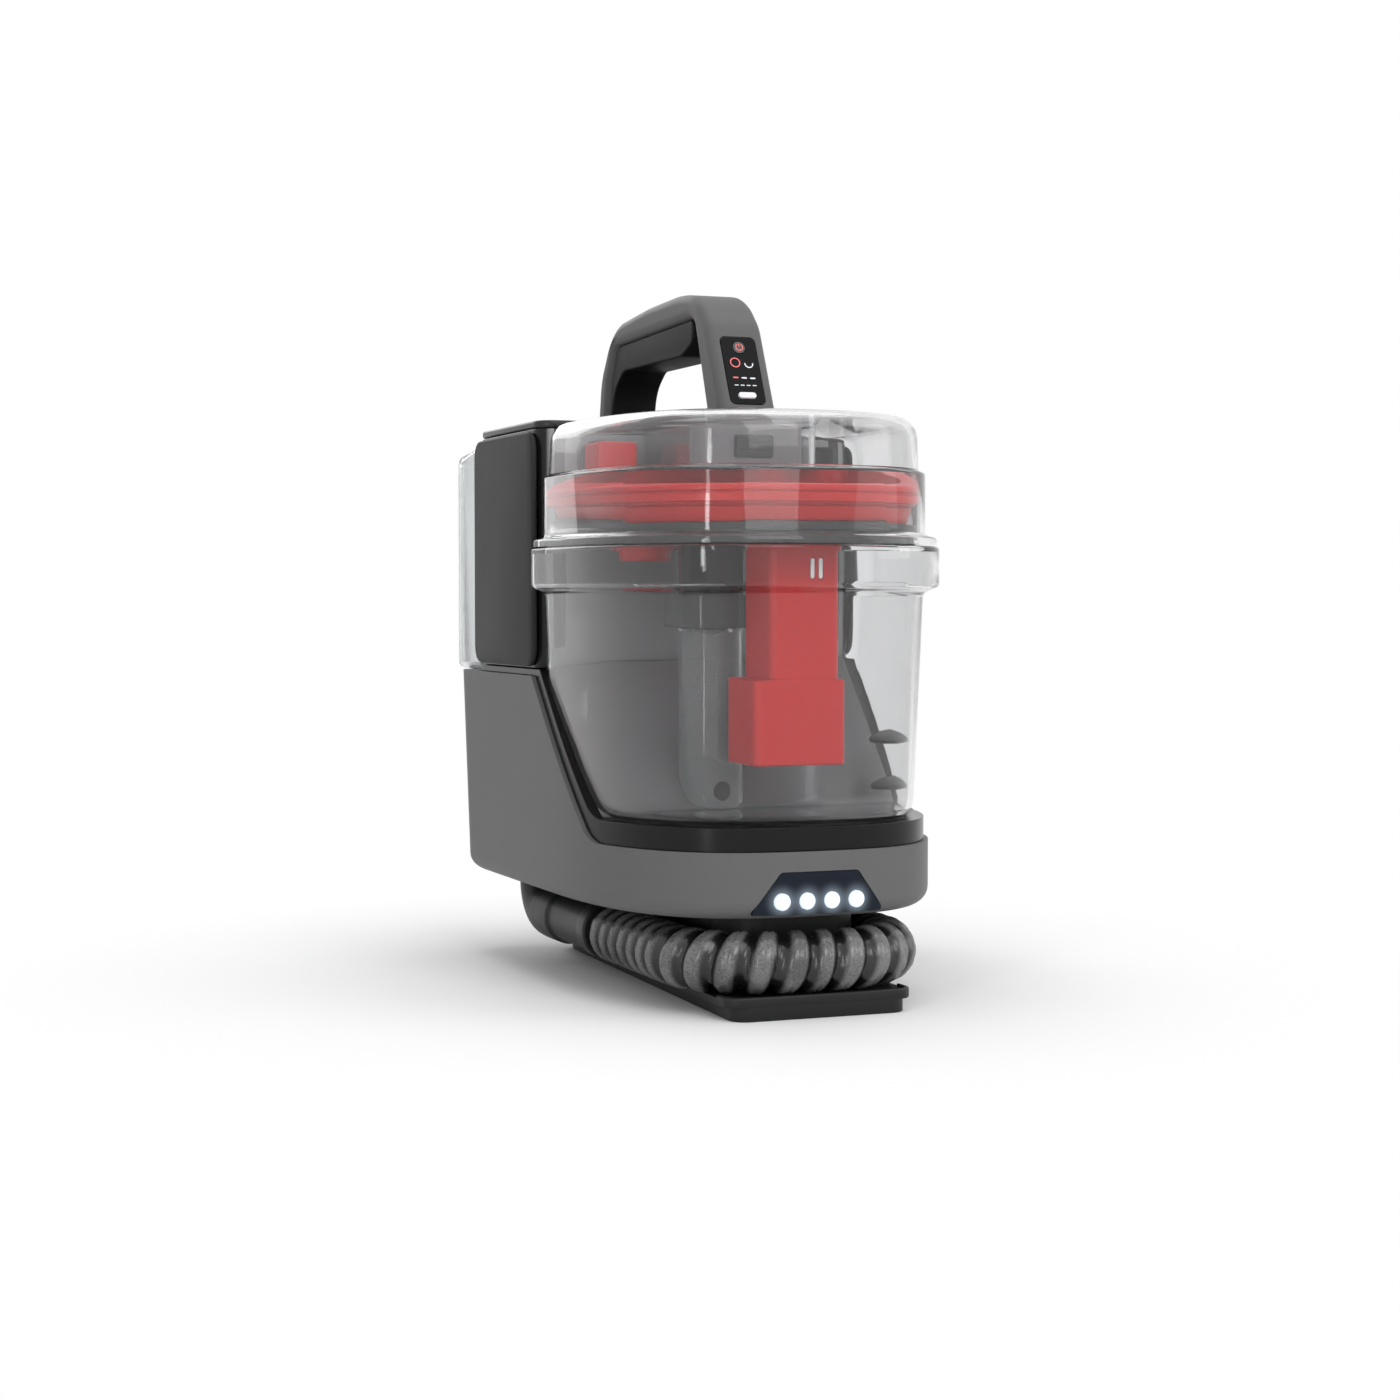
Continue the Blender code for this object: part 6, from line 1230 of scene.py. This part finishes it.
def makeCleanTank():
    c = clean
    made = cleanSlab(0.0, c["half"], 0.0040, 0.0036, 5)
    fuse(made, peg((c["capX"], c["capY"], 0.2860), (c["capX"], c["capY"], 0.2985), 0.0110, 40))
    for side in (-1, 1):
        x = c["capX"] + side * 0.0065
        fuse(made, brick((x - 0.0015, c["capY"] + 0.0130, 0.2840), (x + 0.0015, c["capY"] + 0.0180, 0.3017),
                         0.0008, axis="X"))
    carve(made, cleanSlab(c["wall"], c["half"] - c["wall"], 0.0020, 0.0018, 3),
          peg((c["capX"], c["capY"], 0.2770), (c["capX"], c["capY"], 0.3085), 0.0090, 40),
          peg((c["capX"] - 0.02, c["capY"] + c["hingeY"], c["hingeZ"]),
              (c["capX"] + 0.02, c["capY"] + c["hingeY"], c["hingeZ"]), 0.0015, 20),
          peg((valve["x"], c["front"] - 0.01, valve["z"]), (valve["x"], c["front"] + 0.01, valve["z"]),
              valve["tankHole"], 24))
    return made


dress(makeCleanTank(), "cleanTank", "clean_water_tank", waterClear, "clean_tank")


def makeCap():
    # disc with a plug, its hinge lug and pin, and a finger tab
    c = clean
    low = c["capLow"]
    profile = [(0.0, low - 0.0030), (0.0080, low - 0.0030), (0.0082, low), (0.0135, low),
               (0.0135, low + 0.0038), (0.0131, low + 0.0045), (0.0122, low + 0.0050), (0.0, low + 0.0050)]
    made = turned(profile, (c["capX"], c["capY"], 0), "Z", 56)
    fuse(made, brick((c["capX"] - 0.0045, c["capY"] + 0.008, low + 0.0004),
                     (c["capX"] + 0.0045, c["capY"] + 0.0178, low + 0.0030), 0.0006, axis="X"))
    hinge = c["capY"] + c["hingeY"]
    fuse(made, peg((c["capX"] - 0.0078, hinge, c["hingeZ"]), (c["capX"] + 0.0078, hinge, c["hingeZ"]), 0.0012,
                   20))
    fuse(made, brick((c["capX"] - 0.0050, c["capY"] - 0.0160, low + 0.0006),
                     (c["capX"] + 0.0050, c["capY"] - 0.0100, low + 0.0034), 0.0012))
    return made


dress(makeCap(), "fillCap", "cap", bodyGrey, "fill_cap", 0.0003)
print("clean tank made")


# hand tool and dock

# sections of the tool: height, middle, half sizes across and along, and how square the curve is
toolX = 0.1190
tool = {"x": toolX, "y": 0.0930, "headX": 0.1280,
        "outside": [(0.1240, toolX, 0.0142, 0.0142, 2.0), (0.1500, toolX, 0.0138, 0.0138, 2.0),
                    (0.1800, toolX, 0.0140, 0.0150, 2.2), (0.2080, toolX, 0.0138, 0.0170, 2.4),
                    (0.2280, toolX + 0.002, 0.0135, 0.0270, 2.8),
                    (0.2480, toolX + 0.0055, 0.0120, 0.0400, 3.4),
                    (0.2640, toolX + 0.009, 0.0100, 0.0450, 4.0),
                    (0.2760, toolX + 0.0105, 0.0085, 0.0460, 4.0)],
        "hollow": [(0.1190, toolX, 0.0095, 0.0095, 2.0), (0.2080, toolX, 0.0095, 0.0095, 2.0),
                   (0.2280, toolX + 0.002, 0.0090, 0.0200, 2.6),
                   (0.2480, toolX + 0.0055, 0.0080, 0.0350, 3.4),
                   (0.2640, toolX + 0.009, 0.0060, 0.0410, 4.0),
                   (0.2810, toolX + 0.011, 0.0050, 0.0420, 4.0)], "slotHalf": 0.0056, "slotLow": 0.1620,
        "slotHigh": 0.1990}


def toolCurve(section, grow=0.0, steps=64):
    height, centre, halfX, halfY, power = section
    points = []
    for k in range(steps):
        angle = 2 * math.pi * k / steps
        c, s = math.cos(angle), math.sin(angle)
        points.append((centre + (halfX + grow) * math.copysign(abs(c) ** (2 / power), c),
                       tool["y"] + (halfY + grow) * math.copysign(abs(s) ** (2 / power), s), height))
    return points


def eased(sections, between):
    # adds sections on a smooth curve through the given ones
    full = []
    last = len(sections) - 1
    for i in range(last):
        a, b, c, d = (sections[min(max(i + o, 0), last)] for o in (-1, 0, 1, 2))
        for k in range(between):
            t = k / between
            full.append(tuple(0.5
                              * (2 * q + (r - p) * t + (2 * p - 5 * q + 4 * r - s) * t * t
                                 + (3 * q - p - 3 * r + s) * t ** 3) for p, q, r, s in zip(a, b, c, d)))
    return full + [sections[-1]]


def makeTool():
    made = placedSolid(64, eased(tool["outside"], 5), toolCurve)
    carve(made, placedSolid(64, eased(tool["hollow"], 3), toolCurve))
    carve(made, brick((tool["x"] + 0.0115, tool["y"] - tool["slotHalf"], tool["slotLow"]),
                      (tool["x"] + 0.03, tool["y"] + tool["slotHalf"], tool["slotHigh"]), 0.001, axis="X"))
    return made


dress(makeTool(), "toolBody", "machine", bodyGrey, "tool_body", 0.0005, 2, 36)
face = tool["x"] + 0.0146  # the flat that the trigger stands out of
triggerPoints = [(face + 0.0020, 0.1665), (face + 0.0085, 0.1690), (face + 0.0092, 0.1800),
                 (face + 0.0062, 0.1950), (face + 0.0062, 0.2060), (face + 0.0012, 0.2060),
                 (face + 0.0040, 0.1900)]
trigger = slab(triggerPoints, tool["y"] - 0.0048, tool["y"] + 0.0048, "Y",
               [0.0015, 0.003, 0.006, 0.004, 0.0015, 0.0015, 0.004], 7, 0.0010, 3)
carve(trigger, peg((0.137, tool["y"] - 0.02, 0.203), (0.137, tool["y"] + 0.02, 0.203), 0.0015, 20))
dress(trigger, "toolTrigger", "trigger", triggerRed, "tool_trigger")
smoothCopy("trigger_mount", "triggerMount", bodyDark, "machine", 0.0002)
smoothCopy("tool_dock", "toolDock", bodyDark, "machine", 0.0005)
nozzleWindow = {"inner": tool["headX"] + 0.0103, "outer": tool["headX"] + 0.0119, "half": 0.036,
                "low": 0.2640, "high": 0.2770}
w = nozzleWindow
toolWindow = brick((w["inner"], tool["y"] - w["half"], w["low"]),
                   (w["outer"], tool["y"] + w["half"], w["high"]), 0.0030, 0.0004, "X")
dress(toolWindow, "toolWindow", "machine", tubeClear, "tool_window")

brush = {"bar": (0.1090, 0.1220), "half": 0.0400, "base": 0.2560, "root": 0.2640, "tip": 0.2770,
         "rows": (0.1110, 0.1150), "tufts": 12, "bristles": 9, "spread": 0.00042}


def makeBristles():
    # tufts of thin tapered bristles in two rows
    build = bmesh.new()
    pitch = 2 * brush["half"] / brush["tufts"]
    for rowX in brush["rows"]:
        for k in range(brush["tufts"]):
            y = tool["y"] - brush["half"] + pitch * (k + 0.5)
            for n in range(brush["bristles"]):
                angle = 2.4 * n  # sunflower order, so that a tuft is evenly filled
                lean = Vector((math.cos(angle), math.sin(angle), 0)) * (brush["spread"] * math.sqrt(n))
                start = Vector((rowX, y, brush["root"] - 0.0008)) + lean
                end = Vector((rowX, y,
                              brush["tip"] - 0.0002 - 0.0008 * ((n * 7 + k * 3) % 5) / 5)) + lean * 2.4
                made = bmesh.ops.create_cone(build, cap_ends=True, segments=5, radius1=0.00030,
                                             radius2=0.00020, depth=(end - start).length)
                turn = (end - start).to_track_quat("Z", "Y").to_matrix().to_4x4()
                bmesh.ops.transform(build, matrix=Matrix.Translation((start + end) / 2) @ turn,
                                    verts=made["verts"])
    mesh = bpy.data.meshes.new("toolBristles")
    build.to_mesh(mesh)
    build.free()
    made = bpy.data.objects.new("toolBristles", mesh)
    sceneObjects.link(made)
    return made


brushBar = brick((brush["bar"][0], tool["y"] - brush["half"], brush["base"]),
                 (brush["bar"][1], tool["y"] + brush["half"], brush["root"]), 0.0012, 0.0008, "Y")
carve(brushBar, placedSolid(64, tool["outside"][5:], lambda s: toolCurve(s, seam)))
dress(brushBar, "brushBar", "machine", partsGrey, "tool_brush")
dress(makeBristles(), "toolBristles", "machine",
      moulded("bristleNylon", (0.05, 0.05, 0.055), 0.5, grain=0.02), "tool_brush", smooth=60)
print("hand tool made")


# CAD nodes that stay, with their finishes

nodeFinish = {"front_floor_pad": padRubber, "rear_floor_pad": padRubber, "bottom_plate": bodyDark,
              "lamp_board": board, "appliance_inlet": bodyDark, "tank_valve": bodyDark,
              "suction_motor": steel, "motor_mount": padRubber, "motor_shaft": steel, "fan": fanWhite,
              "fan_housing": bodyDark, "suction_duct": bodyDark, "riser_pipe": bodyDark,
              "inlet_port_seal": sealRubber, "outlet_port_seal": sealRubber, "water_pump": bodyDark,
              "valve_socket": bodyDark, "pump_tube": tubeClear, "control_board": board}
for name, paint in nodeFinish.items():
    mesh = nodes[name].data
    mesh.materials.clear()
    mesh.materials.append(paint)


# floor, world and lamps

def seenRays(paint):
    # 1 for rays that show the surroundings: straight, mirrored or through the clear pieces
    kinds = [paint.node("ShaderNodeLightPath", out="Is %s Ray" % kind)
             for kind in ("Camera", "Glossy", "Transmission")]
    return kinds[0] + kinds[1] + kinds[2]


def floorPaint():
    # pale paper: near the object it keeps the shadow, farther out the camera sees plain white
    paint = Paint("floorPaper")
    where = paint.node("ShaderNodeTexCoord", out="Object")
    away = paint.node("ShaderNodeVectorMath", {"operation": "LENGTH"}, {0: where}, "Value")
    rays = seenRays(paint)
    factor = paint.smooth(away, 0.14, 0.42) * (rays > 0.5)
    paper = paint.node("ShaderNodeBsdfDiffuse", {},
                       {"Color": paint.blendColour(paint.noise(6, 3), (0.90, 0.90, 0.90),
                                                   (0.92, 0.92, 0.92))})
    white = paint.node("ShaderNodeEmission", {}, {"Color": (1, 1, 1, 1), "Strength": 1.0})
    return paint.finish(paint.node("ShaderNodeMixShader", {}, {0: factor, 1: paper, 2: white}))


floorBuild = bmesh.new()
bmesh.ops.create_grid(floorBuild, x_segments=4, y_segments=4, size=6)
floor = toObject(floorBuild, "floor")
for face in floor.data.polygons:
    if face.normal.z < 0:
        floor.data.flip_normals()
        break
floor.data.materials.append(floorPaint())

# each lamp: name, place, width, watts
light = {"ambient": 0.50, "stripHeight": 0.9, "aim": (0, -0.02, 0.17),
         "lamps": [("key", (0.2, -2.1, 1.6), 1.3, 21), ("fill", (1.7, -1.1, 0.9), 1.2, 9),
                   ("top", (0.1, 0.2, 2.1), 1.5, 13), ("back", (-0.3, 1.7, 1.2), 1.2, 8),
                   ("strip", (-1.1, -1.1, 0.35), 0.09, 3.5)]}
world = bpy.data.worlds.new("studio")
bpy.context.scene.world = world
world.use_nodes = True
sky = Paint("studio", world.node_tree)
level = (seenRays(sky) > 0.5) * (1 - light["ambient"]) + light["ambient"]
glow = sky.node("ShaderNodeBackground", {}, {"Color": (1, 1, 1, 1), "Strength": level})
sky.node("ShaderNodeOutputWorld", {}, {"Surface": glow})
for name, place, size, power in light["lamps"]:
    lampData = bpy.data.lights.new(name, "AREA")
    lampData.size = size
    lampData.energy = power
    if name == "strip":
        lampData.shape = "RECTANGLE"
        lampData.size_y = light["stripHeight"]
    lamp = bpy.data.objects.new(name, lampData)
    lamp.location = place
    lamp.rotation_euler = (Vector(light["aim"]) - Vector(place)).to_track_quat("-Z", "Y").to_euler()
    sceneObjects.link(lamp)

print("scene done")
